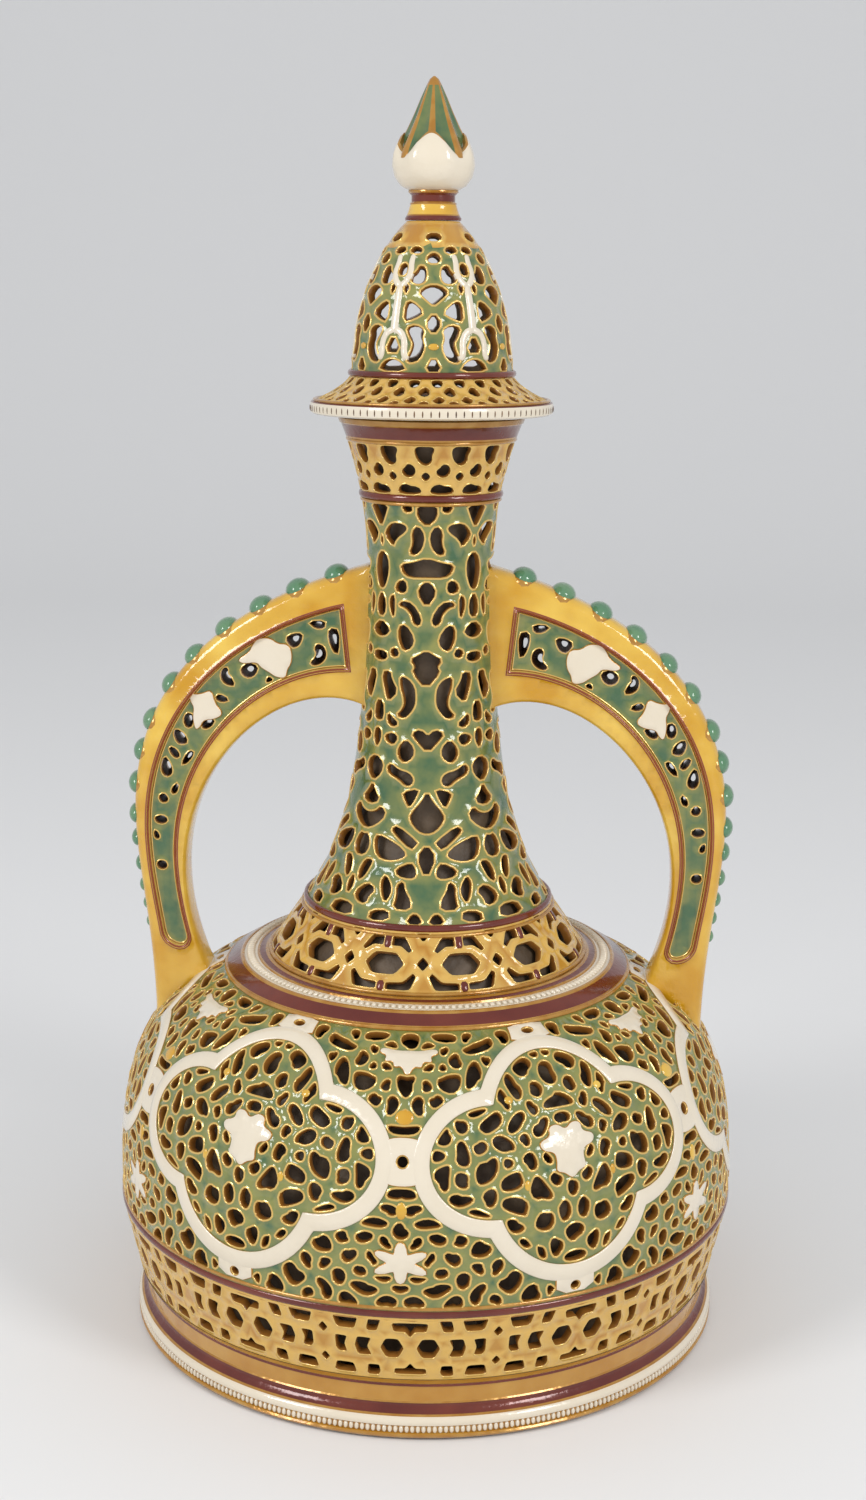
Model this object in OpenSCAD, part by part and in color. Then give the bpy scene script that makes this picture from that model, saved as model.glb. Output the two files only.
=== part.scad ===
/* [Foot] */
// Radius of the foot where it stands
foot_r = 92; // [86:0.5:95]
// Height of the foot ring
foot_h = 18.5; // [16:0.5:24]
// Outward swell of the beaded roll on the foot
foot_roll = 1.2; // [0.5:0.1:2]
// Depth of the cove above the roll
foot_cove = 2.5; // [1:0.1:4]
// Width of the face that the foot stands on
foot_face = 7; // [4:0.5:8]
// Height of the ledge that carries the inner vessel
ledge_h = 10; // [7:0.5:12]
// Width of the ledge that carries the inner vessel
ledge_w = 9; // [6:0.5:12]

/* [Body] */
// Largest radius of the body
body_r = 97.4; // [95:0.2:104]
// Height of the strapwork band under the body
band_h = 22.5; // [19:0.5:28]
// Height of the body above the strapwork band
body_h = 72; // [64:0.5:74]
// Height over which the body would close to a point
body_reach = 81; // [80:0.5:90]
// How late the body begins to turn in
body_fall = 3.2; // [2.6:0.1:4]
// How round the shoulder is
body_round = 2.7; // [2.2:0.1:3.2]
// Thickness of the pierced jacket
jacket_t = 3; // [2:0.1:4]
// Room between the jacket and the inner vessel
jacket_gap = 5.5; // [4:0.1:8]
// Thickness of the inner vessel
vessel_t = 3; // [2:0.1:4]
// Thickness of the base disc
base_t = 4; // [3:0.1:6]

/* [Neck] */
// Height of the stepped ring on the shoulder
shoulder_h = 4.8; // [4:0.1:8]
// Radius of the collar where it stands on the shoulder
collar_r = 50; // [47:0.5:53]
// Height of the pierced collar
collar_h = 17; // [14:0.5:22]
// Radius of the neck at the top of the collar
neck_foot_r = 38.5; // [35:0.5:41]
// Radius of the neck at its slimmest
neck_r = 19; // [18:0.2:22]
// Height over which the foot of the neck falls in
neck_fall = 28; // [22:1:34]
// Height of the pierced neck
neck_h = 125.5; // [115:0.5:140]
// Radius added at the mouth by its flare
mouth_flare = 9; // [7:0.2:12]
// Height over which the mouth flares
flare_h = 42; // [34:1:60]
// How late the mouth flares
flare_late = 1.8; // [1.2:0.1:2.4]
// Height of the pierced band under the mouth
neck_band_h = 16.5; // [13:0.5:22]
// Height of the rim of the mouth
rim_h = 7; // [5:0.5:10]
// Radius of the mouth
mouth_r = 17.2; // [15:0.1:17.8]
// Thickness of the pierced neck
neck_t = 2.2; // [1.6:0.1:3]
// Room between the neck and its liner
liner_gap = 2.5; // [1.5:0.1:3.5]
// Thickness of the liner
liner_t = 2; // [1.5:0.1:3]

/* [Lid] */
// Radius of the lid's rim
lid_r = 36.5; // [33:0.5:42]
// Thickness of the lid's rim
lid_rim_h = 3.8; // [2.5:0.1:6]
// Height of the pierced skirt
skirt_h = 8; // [6.5:0.5:12]
// Radius of the lid's dome
lid_dome_r = 24.3; // [22:0.1:27]
// Height of the lid's dome
lid_dome_h = 44; // [38:0.5:46]
// Height over which the lid's dome would close to a point
lid_reach = 48; // [47.5:0.5:56]
// Thickness of the lid's walls
lid_t = 2.5; // [1.8:0.1:3]
// Height of the moulded collar under the bud
finial_collar_h = 8.5; // [6.5:0.5:12]
// Largest radius of the bud
bud_r = 12.5; // [10:0.1:15]
// Height of the bud
bud_h = 15; // [12:0.5:18]
// Height of the spire
spire_h = 17; // [12:0.5:24]
// Ribs round the spire
spire_ribs = 10; // [6:1:14]
// Depth of the ring that centres the lid in the mouth
spigot_h = 9; // [5:0.5:10]
// Thickness of the ring that centres the lid
spigot_t = 2.5; // [1.5:0.1:3.5]

/* [Handles] */
// Reach of the handles from the axis
handle_reach = 92; // [88:0.5:97]
// Height at which the top of a handle leaves the neck
handle_top = 239; // [232:0.5:246]
// Height of a handle where it leaves the neck
handle_root_h = 45; // [38:0.5:50]
// Width of a handle at its widest reach
handle_w = 16.5; // [14:0.5:20]
// Width of a handle's foot on the shoulder
handle_foot_w = 18.5; // [15:0.5:22]
// Depth of a handle from front to back
handle_d = 13; // [10:0.5:16]
// Cut of a handle's corners
handle_edge = 2.6; // [1:0.1:4]
// Thickness of the pierced panel in a handle
panel_t = 6; // [4:0.5:9]
// Cabochons along a handle
jewel_count = 14; // [8:1:15]
// Width of the largest cabochon
jewel_w = 7.2; // [5:0.1:8]

/* [Fits] */
// Room round the ring that centres the lid
spigot_gap = 0.7; // [0.3:0.1:1.2]
// Height of the lid above its seat
seat_gap = 0.1; // [0.05:0.05:0.3]
// Width of a luted seam
seam = 0.15; // [0.05:0.05:0.3]
// Smallest opening of the scrollwork that is cut, as its length times its width
least_opening = 17; // [12:1:25]

/* [Hidden] */
$fn = 96;

green = "#769e7a";
ochre = "#deb45f";
cream = "#f0e6d4";
maroon = "#783e3e";
clay = "#b99b76";

// Levels of the tiers, each standing on the one below
band_z = foot_h;
body_z = band_z + band_h;
shoulder_z = body_z + body_h;
collar_z = shoulder_z + shoulder_h;
neck_z = collar_z + collar_h;
neck_band_z = neck_z + neck_h;
rim_z = neck_band_z + neck_band_h;
mouth_z = rim_z + rim_h;
lid_z = mouth_z + seat_gap;
skirt_z = lid_z + lid_rim_h;
lid_dome_z = skirt_z + skirt_h;
finial_z = lid_dome_z + lid_dome_h;
bud_z = finial_z + finial_collar_h;
spire_z = bud_z + bud_h;

// Outside of the body and, with the sizes of the inner vessel, of that vessel
function body_at(z, r = body_r, reach = body_reach) =
    r * pow(1 - pow(max(0, z - body_z) / reach, body_fall), 1 / body_round);
function body_level(at_r, r = body_r, reach = body_reach) =
    body_z + reach * pow(1 - pow(at_r / r, body_round), 1 / body_fall);
band_foot_r = foot_r + foot_roll / 4;

// Outside of the neck, flared at its foot and at its mouth
flare_z = mouth_z - flare_h;
function neck_at(z) = neck_r + (neck_foot_r - neck_r) * exp(-(z - neck_z) / neck_fall)
    + mouth_flare * pow(max(0, z - flare_z) / flare_h, flare_late);

// Outside of the lid's skirt and dome
skirt_foot_r = lid_r - 1;
skirt_sweep = 1.6;
function skirt_at(z) = lid_dome_r
    + (skirt_foot_r - lid_dome_r) * pow(1 - (z - skirt_z) / skirt_h, skirt_sweep);
lid_fall = 1.8;
lid_round = 1.75;
function lid_at(z) =
    lid_dome_r * pow(1 - pow((z - lid_dome_z) / lid_reach, lid_fall), 1 / lid_round);

// Levels at which a wall is drawn, evenly or closer together towards its top
function even_levels(lo, hi, steps) = [for (i = [0:steps]) lo + (hi - lo) * i / steps];
function levels(lo, hi, steps) = [for (i = [0:steps]) lo + (hi - lo) * sin(90 * i / steps)];

// Table of [length up a wall, height]
function wall_lengths(zs, rs) = let (last = len(zs) - 1) [
    for (i = 0, s = 0; i <= last;
         s = s + norm([zs[min(i + 1, last)] - zs[i], rs[min(i + 1, last)] - rs[i]]), i = i + 1)
        [s, zs[i]]];

// Lean of a wall where it is drawn between two levels
function lean_at(zs, rs, z) = let (
    below = [for (i = [1:len(zs) - 1]) if (z >= zs[i - 1]) i],
    i = len(below) == 0 ? 1 : below[len(below) - 1])
    atan2(rs[i - 1] - rs[i], zs[i] - zs[i - 1]);

// Inner line of a wall: level with its ends, and square to the outer line between them
function inner_line(zs, rs, t) = let (last = len(zs) - 1) [
    for (i = [0:last]) let (
        lean = lean_at(zs, rs, zs[min(i, last - 1)]),
        end = i == 0 || i == last,
        p = end ? [rs[i] - t / cos(lean), zs[i]] : [rs[i] - t * cos(lean), zs[i] - t * sin(lean)])
        if (end || p[1] > zs[0] && p[1] < zs[last]) p];

// A turned wall of even thickness under its outer line
module turned_wall(zs, rs, t) {
    inner = inner_line(zs, rs, t);
    rotate_extrude()
        polygon(concat([for (i = [0:len(zs) - 1]) [rs[i], zs[i]]],
                       [for (i = [len(inner) - 1:-1:0]) inner[i]]));
}

// Everything inside an outer line
module turned_core(zs, rs)
    rotate_extrude()
        polygon(concat([[0, zs[0]]], [for (i = [0:len(zs) - 1]) [rs[i], zs[i]]],
                       [[0, zs[len(zs) - 1]]]));

// Outlines of openings: an oval that may taper to one end and bend, and straight-sided ones
function petal(l, w, turn, taper = 0, bend = 0) = let (
    sides = l * w > 30 ? 8 : 6,
    grow = sides == 6 ? 1.1 : 1.05) [
    for (i = [0:sides - 1]) let (
        t = 360 * (i + 0.5) / sides,
        x = grow * l / 2 * cos(t),
        y = grow * w / 2 * sin(t) * (1 - taper * cos(t)) + bend * (2 * x * x / l - l / 8))
        [x * cos(turn) - y * sin(turn), x * sin(turn) + y * cos(turn)]];
function lozenge(w, h) = [[w / 2, 0], [0, h / 2], [-w / 2, 0], [0, -h / 2]];
function hexagon(w, h, cut) = [[w / 2, 0], [w / 2 - cut, h / 2], [cut - w / 2, h / 2],
    [-w / 2, 0], [cut - w / 2, -h / 2], [w / 2 - cut, -h / 2]];
function trapezoid(low, high, h) = [[low / 2, -h / 2], [high / 2, h / 2],
    [-high / 2, h / 2], [-low / 2, -h / 2]];

// Ovals from rows of [degrees, up, length, width, turn, taper, bend], without the smallest ones.
// Taper and bend may be left out.
function ovals(list) = [
    for (row = list) if (row[2] * row[3] >= least_opening)
        let (h = concat(row, [0, 0]))
            [h[0], h[1], petal(h[2], h[3], h[4], h[5], len(row) < 7 ? 0 : h[6])]];

// One opening through a wall, square to it
module opening(r, z, angle, lean, deep, outline)
    rotate([0, 0, angle - 90])
        translate([r, 0, z])
            rotate([0, -lean, 0])
                rotate([90, 0, 90])
                    linear_extrude(height = deep, center = true)
                        polygon(outline);

// Openings of a motif that repeats round a wall, on both sides of its axis: [degrees, up, outline].
// The motif was drawn for a wall of the given height, and grows with the wall.
module openings(cells, repeats, start, zs, rs, t, drawn) {
    up = wall_lengths(zs, rs);
    grow = up[len(up) - 1][0] / drawn;
    radii = [for (i = [0:len(zs) - 1]) [zs[i], rs[i]]];
    for (k = [0:repeats - 1], cell = cells, side = cell[0] % (180 / repeats) == 0 ? [1] : [1, -1])
        let (z = lookup(grow * cell[1], up))
            opening(lookup(z, radii), z, start + 360 * k / repeats + side * cell[0],
                lean_at(zs, rs, z), 3 * t, [for (p = cell[2]) grow * [side * p[0], p[1]]]);
}

// Scrollwork inside a medallion, out from its axis, on a wall drawn 86 high
body_drawn = 86;
medallion_holes = [
    [0, 67.7, 5.5, 5, 90], [0, 58.7, 10.5, 2.8, 0, 0, -0.2], [0, 53.4, 5, 3, 0], [0, 35, 5.5, 2.8, 90],
    [0, 13.4, 7, 2.6, 0, 0, 0.2], [5.6, 72, 7.5, 4.6, -25], [12.4, 63.8, 7, 3.4, 80],
    [8.5, 65, 7.6, 4.4, 75], [4.1, 62.3, 4, 3.4, 0], [17.4, 59.8, 7, 2.2, -8], [20.6, 55.3, 5, 4.2, -45],
    [14.4, 54.2, 8.5, 3.8, -35], [9, 53.8, 7, 2.8, -40], [4.6, 51.6, 5.4, 3, -35], [4.3, 44.6, 6, 3, 45],
    [23.9, 49, 8.2, 4.4, -50, 0, 0.2], [19.6, 46.5, 6.5, 3.6, 80], [11.8, 48, 8, 3.6, 25],
    [15.3, 41.8, 8, 4.6, -50], [23.3, 39.5, 7.5, 4.4, 80, 0, 0.2], [10.6, 38.2, 7.4, 3.8, -15, 0, -0.2],
    [3, 37.8, 3.8, 3.2, 30], [6.2, 34.4, 7.8, 3.6, 55], [20, 33.8, 6, 2.8, 12], [15.1, 33.2, 4.8, 3.2, -65],
    [10.4, 30.2, 9, 3.4, 30], [2, 27.8, 5.2, 2.8, 80], [17, 28.3, 7, 2.2, 15], [11.8, 23.8, 5.5, 4, 20],
    [10.4, 18.2, 7, 3, 30], [6.8, 17, 7.5, 3.4, 65], [3.5, 17.5, 4.8, 3.6, 90]];
// Scrollwork between the medallions, out from the boss that joins them
spandrel_holes = [
    [0, 80.3, 5, 4.6, 0], [0, 66.6, 6.6, 6, 90, -0.4], [0, 52.6, 7.6, 2.8, 0, 0, 0.2],
    [0, 44.2, 4.2, 4.2, 0], [0, 35.3, 8, 3.2, 0, 0, 0.2], [0, 24.5, 4.6, 4.6, 0],
    [0, 8.2, 4.4, 2.8, 0], [8.8, 81.6, 7, 2.6, -5],
    [4.4, 73, 6, 3.2, 40], [10.2, 74, 4.2, 4.2, 0], [8.2, 67.2, 7, 4.2, 0, 0, 0.2], [14, 69, 8, 3.2, 65],
    [16.5, 78.6, 9, 3.2, 15, 0, 0.2], [23, 81.2, 4, 3.2, 0], [2.5, 59.3, 4.6, 3.6, 70],
    [6.1, 61, 4.4, 3.4, -20], [5.1, 27.8, 8, 2.8, -5], [6.2, 22.6, 5.4, 2.8, -20],
    [4.2, 16.5, 4.6, 3.4, 90], [8.5, 17, 4.4, 3, 90],
    [10.6, 10, 4.6, 3.8, 45], [6.1, 7.8, 7.4, 3.2, 10], [2.2, 3.9, 4.2, 2.6, 0], [13.3, 19.2, 5, 3.8, 60],
    [12.7, 5.8, 4.2, 3.2, 60], [18, 8, 6, 4.4, 60], [22.6, 4.6, 4, 2.8, 0], [26, 5, 3.2, 3, 0]];

// Scrollwork of the lower and of the upper neck, on a wall drawn 129 high
neck_drawn = 129;
lower_neck_holes = [
    [0, 22.6, 8, 4.6, 90], [0, 36, 10.5, 9, 90, -0.3], [0, 57.5, 7.6, 3.6, 0, 0, 0.3], [30, 11, 6, 5.6, 0],
    [30, 18.5, 4.8, 3.8, 90], [30, 34, 8.4, 3, 0, 0, 0.2], [30, 41, 5, 3.8, 90], [30, 49.6, 5.4, 4.4, 90],
    [30, 57.4, 4.6, 3.8, 90], [20.5, 4.4, 5.4, 2.4, 0], [9.5, 9.6, 7, 3.2, 80], [18.5, 13.2, 5, 2.6, 80],
    [10.5, 19, 5.4, 3.2, -20], [14, 29.2, 9.6, 2.9, 30], [22.5, 25.2, 8, 4.4, 15], [13.5, 41, 4.8, 3.6, -35],
    [17.5, 47.4, 6.6, 3.6, 20], [16.5, 54.6, 5.4, 4.4, 90]];
upper_neck_holes = [
    [0, 78.4, 9, 8, 90], [0, 101.8, 5.6, 4.6, 90], [0, 108.6, 15, 4.6, 0, 0, 0.1], [0, 124.8, 5.4, 4.6, 0],
    [45, 70, 3.8, 3.4, 0], [45, 79.6, 7, 2.8, 0, 0, 0.2], [45, 86, 4.6, 4, 90], [45, 97, 7, 5, 90],
    [45, 117, 5, 4.2, 90], [45, 124.8, 6.6, 4.2, 0], [11.5, 69.8, 8.4, 3.4, 90, 0, 0.2], [29, 72, 8.6, 4, 40],
    [19.5, 88.2, 6.8, 4.6, 70], [33, 90.4, 6, 3, 5], [14.5, 95.8, 7, 3.4, -30, 0, -0.3],
    [27.5, 103, 3.6, 3.2, 0], [36, 106.5, 8.4, 4.6, 90], [9.5, 116.4, 7.6, 3.6, 80],
    [27.5, 117.8, 7, 5, 20], [22, 125.8, 3.8, 2.6, 0]];

// Scrollwork of the lid's dome, on a wall drawn 49 high
lid_drawn = 49;
lid_holes = [
    [0, 4.6, 6, 3, 0, 0, -0.2], [0, 14.6, 5, 3.6, 90], [0, 23.4, 6, 3.4, 0, 0, -0.2], [0, 36.4, 5, 3.4, 90],
    [30, 4.4, 6.6, 2.8, 0, 0, -0.2], [30, 19, 5, 4, 0], [30, 27.4, 4.6, 3.8, 90],
    [11.8, 9.4, 6.6, 3.8, 80, 0, 0.2], [23.2, 11, 5.6, 3.4, 70], [15, 18.6, 5, 3.6, 20],
    [14, 31, 6, 3, 60, 0, 0.2]];

module foot_ring() color(ochre)
    rotate_extrude()
        polygon([[foot_r, 0], [foot_r + foot_roll, 3], [foot_r + foot_roll, 7],
            [foot_r - foot_cove, 8.5], [foot_r - foot_cove, 9.5], [foot_r - foot_cove + 0.6, foot_h - 3],
            [band_foot_r, foot_h], [band_foot_r - jacket_t, foot_h],
            [band_foot_r - jacket_t, ledge_h], [vessel_seat_r - ledge_w, ledge_h],
            [vessel_seat_r - ledge_w, ledge_h - 4], [foot_r - foot_face, 0]]);

// Inner vessel, with its base disc on the ledge of the foot
vessel_r = body_r - jacket_t - jacket_gap;
vessel_reach = body_reach - jacket_t - jacket_gap + 1;
vessel_seat_r = foot_r - jacket_t - jacket_gap;
vessel_z = ledge_h + base_t;
liner_foot_r = collar_r - jacket_t;
vessel_top_z = body_level(liner_foot_r, vessel_r, vessel_reach);
vessel_zs = concat([vessel_z], levels(body_z, vessel_top_z, 9));
vessel_rs = concat([vessel_seat_r],
    [for (i = [1:len(vessel_zs) - 1]) body_at(vessel_zs[i], vessel_r, vessel_reach)]);

module base_disc() color(clay)
    translate([0, 0, ledge_h])
        cylinder(h = base_t, r = vessel_seat_r);

module inner_vessel() color(clay)
    turned_wall(vessel_zs, vessel_rs, vessel_t);

// Liner of the neck, from the inner vessel to the rim of the mouth
liner_zs = concat([vessel_top_z, collar_z], even_levels(neck_z, rim_z, 14));
liner_rs = concat([liner_foot_r, liner_foot_r - liner_gap],
    [for (i = [2:len(liner_zs) - 1]) neck_at(liner_zs[i]) - neck_t - liner_gap]);

module neck_liner() color(clay)
    turned_wall(liner_zs, liner_rs, liner_t);

// Strapwork band: hexagons between crossing straps, on a wall drawn 23 high
band_drawn = 23;
band_zs = [band_z, body_z];
band_rs = [band_foot_r, body_r];
band_cells = [
    [3.4, 11.7, hexagon(7.4, 5.4, 1.8)], [8.4, 11.7, hexagon(5.2, 5.4, 1.8)],
    [12.6, 11.7, hexagon(3.6, 5, 1.2)],
    [6.4, 19, hexagon(4.4, 3.2, 1)], [11.2, 19, trapezoid(6.4, 8, 3)], [0, 19, trapezoid(8, 11, 3)],
    [6.4, 4.4, hexagon(4.2, 3, 1)], [11.4, 4.4, trapezoid(7.6, 6, 3)], [0, 4.4, trapezoid(11, 8, 3)]];

module lower_band() color(ochre)
    difference() {
        turned_wall(band_zs, band_rs, jacket_t);
        openings(band_cells, 12, 0, band_zs, band_rs, jacket_t, band_drawn);
    }

body_zs = levels(body_z, shoulder_z, 9);
body_rs = [for (z = body_zs) body_at(z)];
module body_shell() color(green)
    difference() {
        turned_wall(body_zs, body_rs, jacket_t);
        openings(ovals(medallion_holes), 6, 30, body_zs, body_rs, jacket_t, body_drawn);
        openings(ovals(spandrel_holes), 6, 0, body_zs, body_rs, jacket_t, body_drawn);
    }

shoulder_r = body_at(shoulder_z);
shoulder_step = 7;
module shoulder_ring() color(maroon)
    rotate_extrude()
        polygon([[shoulder_r, shoulder_z], [shoulder_r - shoulder_step + 1.5, collar_z - 1.6],
            [shoulder_r - shoulder_step, collar_z - 0.6], [collar_r, collar_z],
            [collar_r - jacket_t, collar_z], [collar_r - jacket_t, shoulder_z]]);

// Collar: long hexagons between crossing straps, on a wall drawn 20.5 high
collar_drawn = 20.5;
collar_zs = [collar_z, neck_z];
collar_rs = [collar_r, neck_foot_r];
collar_cells = [
    [15, 9.6, hexagon(11.4, 6.2, 2.6)], [0, 9.4, lozenge(3, 3.4)], [0, 18, trapezoid(1.4, 3.6, 1.8)],
    [8.6, 15.4, trapezoid(6.4, 5, 3.2)], [8.6, 3.6, trapezoid(7, 8.2, 2.6)]];

module neck_collar() color(ochre)
    difference() {
        turned_wall(collar_zs, collar_rs, jacket_t);
        openings(collar_cells, 12, 0, collar_zs, collar_rs, jacket_t, collar_drawn);
    }

neck_zs = even_levels(neck_z, neck_band_z, 12);
neck_rs = [for (z = neck_zs) neck_at(z)];
module neck_shell() color(green)
    difference() {
        turned_wall(neck_zs, neck_rs, neck_t);
        openings(ovals(lower_neck_holes), 6, 0, neck_zs, neck_rs, neck_t, neck_drawn);
        openings(ovals(upper_neck_holes), 4, 0, neck_zs, neck_rs, neck_t, neck_drawn);
    }

// Band under the mouth: shields, rounds and half-moons, on a wall drawn 17.2 high
neck_band_drawn = 17.2;
neck_band_repeats = 14;
neck_band_zs = even_levels(neck_band_z, rim_z, 3);
neck_band_rs = [for (z = neck_band_zs) neck_at(z)];
neck_band_cells = [
    [0, 13.6, petal(4.6, 6, -90, 0.3)], [180 / neck_band_repeats, 9, petal(3.2, 3.2, 0)],
    [180 / neck_band_repeats, 3.2, trapezoid(6.8, 3.6, 2.8)]];

module neck_band() color(ochre)
    difference() {
        turned_wall(neck_band_zs, neck_band_rs, neck_t);
        openings(neck_band_cells, neck_band_repeats, 0, neck_band_zs, neck_band_rs, neck_t,
            neck_band_drawn);
    }

module mouth_rim() color(maroon) {
    lip_r = neck_at(mouth_z);
    rotate_extrude()
        polygon([[neck_at(rim_z), rim_z], [lip_r - 0.6, mouth_z - 3], [lip_r, mouth_z - 2],
            [lip_r, mouth_z - 1], [lip_r - 1, mouth_z], [mouth_r, mouth_z], [mouth_r, rim_z]]);
}

// Handles: outer and inner edge as two curves each, from the neck down to the shoulder
function mix(a, b, t) = a + (b - a) * t;
function curve(p, t) = pow(1 - t, 3) * p[0] + 3 * pow(1 - t, 2) * t * p[1]
    + 3 * (1 - t) * t * t * p[2] + t * t * t * p[3];
handle_root = neck_at(handle_top) - 2;
handle_in = handle_reach - handle_w;
foot_out_r = handle_reach - 5.5;
foot_in_r = foot_out_r - handle_foot_w;
foot_bite = 4;
foot_out = [foot_out_r, body_level(foot_out_r) - foot_bite];
foot_in = [foot_in_r, body_level(foot_in_r) - foot_bite];
widest_z = mix(handle_top, foot_out[1], 0.53);
root_z = handle_top - handle_root_h;
narrow_z = mix(root_z, foot_in[1], 0.6);
handle_outer = [
    [[handle_root, handle_top], [mix(handle_root, handle_reach, 0.54), handle_top - 14],
        [handle_reach, mix(handle_top, widest_z, 0.47)], [handle_reach, widest_z]],
    [[handle_reach, widest_z], [handle_reach, mix(widest_z, foot_out[1], 0.3)],
        [foot_out_r + 0.5, mix(widest_z, foot_out[1], 0.5)], foot_out]];
handle_inner = [
    [[handle_root, root_z], [mix(handle_root, handle_in, 0.4), root_z + 13],
        [handle_in, mix(root_z, narrow_z, 0.27)], [handle_in, narrow_z]],
    [[handle_in, narrow_z], [handle_in, mix(narrow_z, foot_in[1], 0.35)],
        [handle_in - 3, mix(narrow_z, foot_in[1], 0.65)], foot_in]];

// Places along a handle run from 0 at the neck to 2 on the shoulder
function outer_at(t) = t < 1 ? curve(handle_outer[0], t) : curve(handle_outer[1], t - 1);
function inner_at(t) = t < 1 ? curve(handle_inner[0], t) : curve(handle_inner[1], t - 1);
function across(t, share) = mix(outer_at(t), inner_at(t), share);
handle_ts = [for (i = [0:28]) i / 14];

// Section of a handle: flat sides and crest, with cut corners
function handle_section(t) = let (
    o = outer_at(t), i = inner_at(t), e = handle_edge / norm(o - i), d = handle_d / 2,
    a = mix(o, i, e), b = mix(i, o, e))
    [[o[0], d - handle_edge, o[1]], [a[0], d, a[1]], [b[0], d, b[1]], [i[0], d - handle_edge, i[1]],
     [i[0], handle_edge - d, i[1]], [b[0], -d, b[1]], [a[0], -d, a[1]], [o[0], handle_edge - d, o[1]]];
handle_points = [for (t = handle_ts) each handle_section(t)];
handle_faces = concat(
    [for (j = [0:len(handle_ts) - 2], k = [0:7], half = [0, 1])
        let (a = 8 * j + k, b = 8 * j + (k + 1) % 8)
            half == 0 ? [a, a + 8, b] : [b, a + 8, b + 8]],
    [[for (k = [0:7]) k]], [[for (k = [7:-1:0]) 8 * (len(handle_ts) - 1) + k]]);

// Panel of a handle: its edges are shares of the way from the outer to the inner edge
panel_ts = [for (i = [0:16]) mix(0.09, 1.66, i / 16)];
function panel_edge(t, low, high, gap) =
    across(t, mix(low, high, t / 2) + gap / norm(outer_at(t) - inner_at(t)));
function panel_outline(gap) = concat(
    [for (t = panel_ts) panel_edge(t, 0.26, 0.36, gap)],
    [for (i = [len(panel_ts) - 1:-1:0]) panel_edge(panel_ts[i], 0.72, 0.8, -gap)]);

module upright(t)
    rotate([90, 0, 0])
        linear_extrude(height = t, center = true)
            children();

module handle_frame() color(ochre)
    difference() {
        polyhedron(handle_points, handle_faces);
        upright(2 * handle_d)
            polygon(panel_outline(0));
        turned_core(neck_zs, [for (r = neck_rs) r + seam]);
        turned_core([for (z = body_zs) z + seam], [for (r = body_rs) r + seam]);
    }

// Openings of a panel: [place along the handle, share across it, length, width, turn]
panel_holes = [[0.17, 0.42, 5, 3.4, 80], [0.19, 0.6, 5, 3, 100], [0.3, 0.38, 6.4, 3.6, 40],
    [0.3, 0.6, 6.6, 3.8, -20], [0.44, 0.36, 5.4, 3, 20], [0.46, 0.6, 6, 3.4, 50], [0.57, 0.46, 5.4, 3.4, 80],
    [0.67, 0.5, 5, 3.2, 60], [0.8, 0.52, 5.2, 3, 70], [0.93, 0.54, 5, 2.8, 60], [1.07, 0.58, 4, 2.4, 80]];

module handle_panel() color(green)
    difference() {
        upright(panel_t)
            polygon(panel_outline(seam));
        for (hole = panel_holes)
            upright(2 * panel_t)
                translate(across(hole[0], hole[1]))
                    polygon(petal(hole[2], hole[3], hole[4]));
    }

// Cabochons stand on the crest of a handle, smaller and closer together downwards
function jewel_step(k) = 0.07 + 0.12 * k - 0.0025 * k * k;
function jewel_place(k) = max(jewel_step(k), 2 * jewel_step(k) - 1);
function jewel_size(k) = jewel_w * (1 - 0.03 * k);
module handle_jewels() color(green)
    for (k = [0:jewel_count - 1])
        let (t = jewel_place(k), w = jewel_size(k), spot = outer_at(t),
             way = outer_at(t + 0.01) - outer_at(t - 0.01))
            translate([spot[0], 0, spot[1]])
                rotate([0, atan2(-way[1], way[0]), 0])
                    translate([0, 0, seam])
                        intersection() {
                            translate([0, 0, -0.22 * w])
                                sphere(r = 0.56 * w);
                            translate([0, 0, w / 2])
                                cube([2 * w, 2 * w, w], center = true);
                        }

module right_handle() handle_frame();
module left_handle() mirror([1, 0, 0]) handle_frame();
module right_handle_panel() handle_panel();
module left_handle_panel() mirror([1, 0, 0]) handle_panel();
module right_handle_jewels() handle_jewels();
module left_handle_jewels() mirror([1, 0, 0]) handle_jewels();

// Lid, which stands on the rim of the mouth and is centred by a ring inside it
spigot_r = mouth_r - spigot_gap;
module lid_spigot() color(clay)
    translate([0, 0, lid_z - spigot_h])
        difference() {
            cylinder(h = spigot_h, r = spigot_r);
            translate([0, 0, -1])
                cylinder(h = spigot_h + 2, r = spigot_r - spigot_t);
        }

module lid_flange() color(cream)
    rotate_extrude()
        polygon([[spigot_r - spigot_t, lid_z], [lid_r - 1.2, lid_z], [lid_r, lid_z + 1],
            [lid_r, skirt_z - 0.8], [skirt_foot_r, skirt_z], [spigot_r - spigot_t, skirt_z]]);

// Skirt: crossing straps, on a wall drawn 14 high
skirt_drawn = 14;
skirt_zs = even_levels(skirt_z, lid_dome_z, 4);
skirt_rs = [for (z = skirt_zs) skirt_at(z)];
skirt_cells = [[0, 8.6, lozenge(3.6, 4.4)], [7.5, 4.6, lozenge(3.8, 4)], [7.5, 11.6, trapezoid(1.4, 3, 2)]];

module lid_skirt() color(ochre)
    difference() {
        turned_wall(skirt_zs, skirt_rs, lid_t);
        openings(skirt_cells, 24, 0, skirt_zs, skirt_rs, lid_t, skirt_drawn);
    }

lid_zs = levels(lid_dome_z, finial_z, 7);
lid_rs = [for (z = lid_zs) lid_at(z)];
module lid_dome() color(green)
    difference() {
        turned_wall(lid_zs, lid_rs, lid_t);
        openings(ovals(lid_holes), 6, 0, lid_zs, lid_rs, lid_t, lid_drawn);
    }

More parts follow.
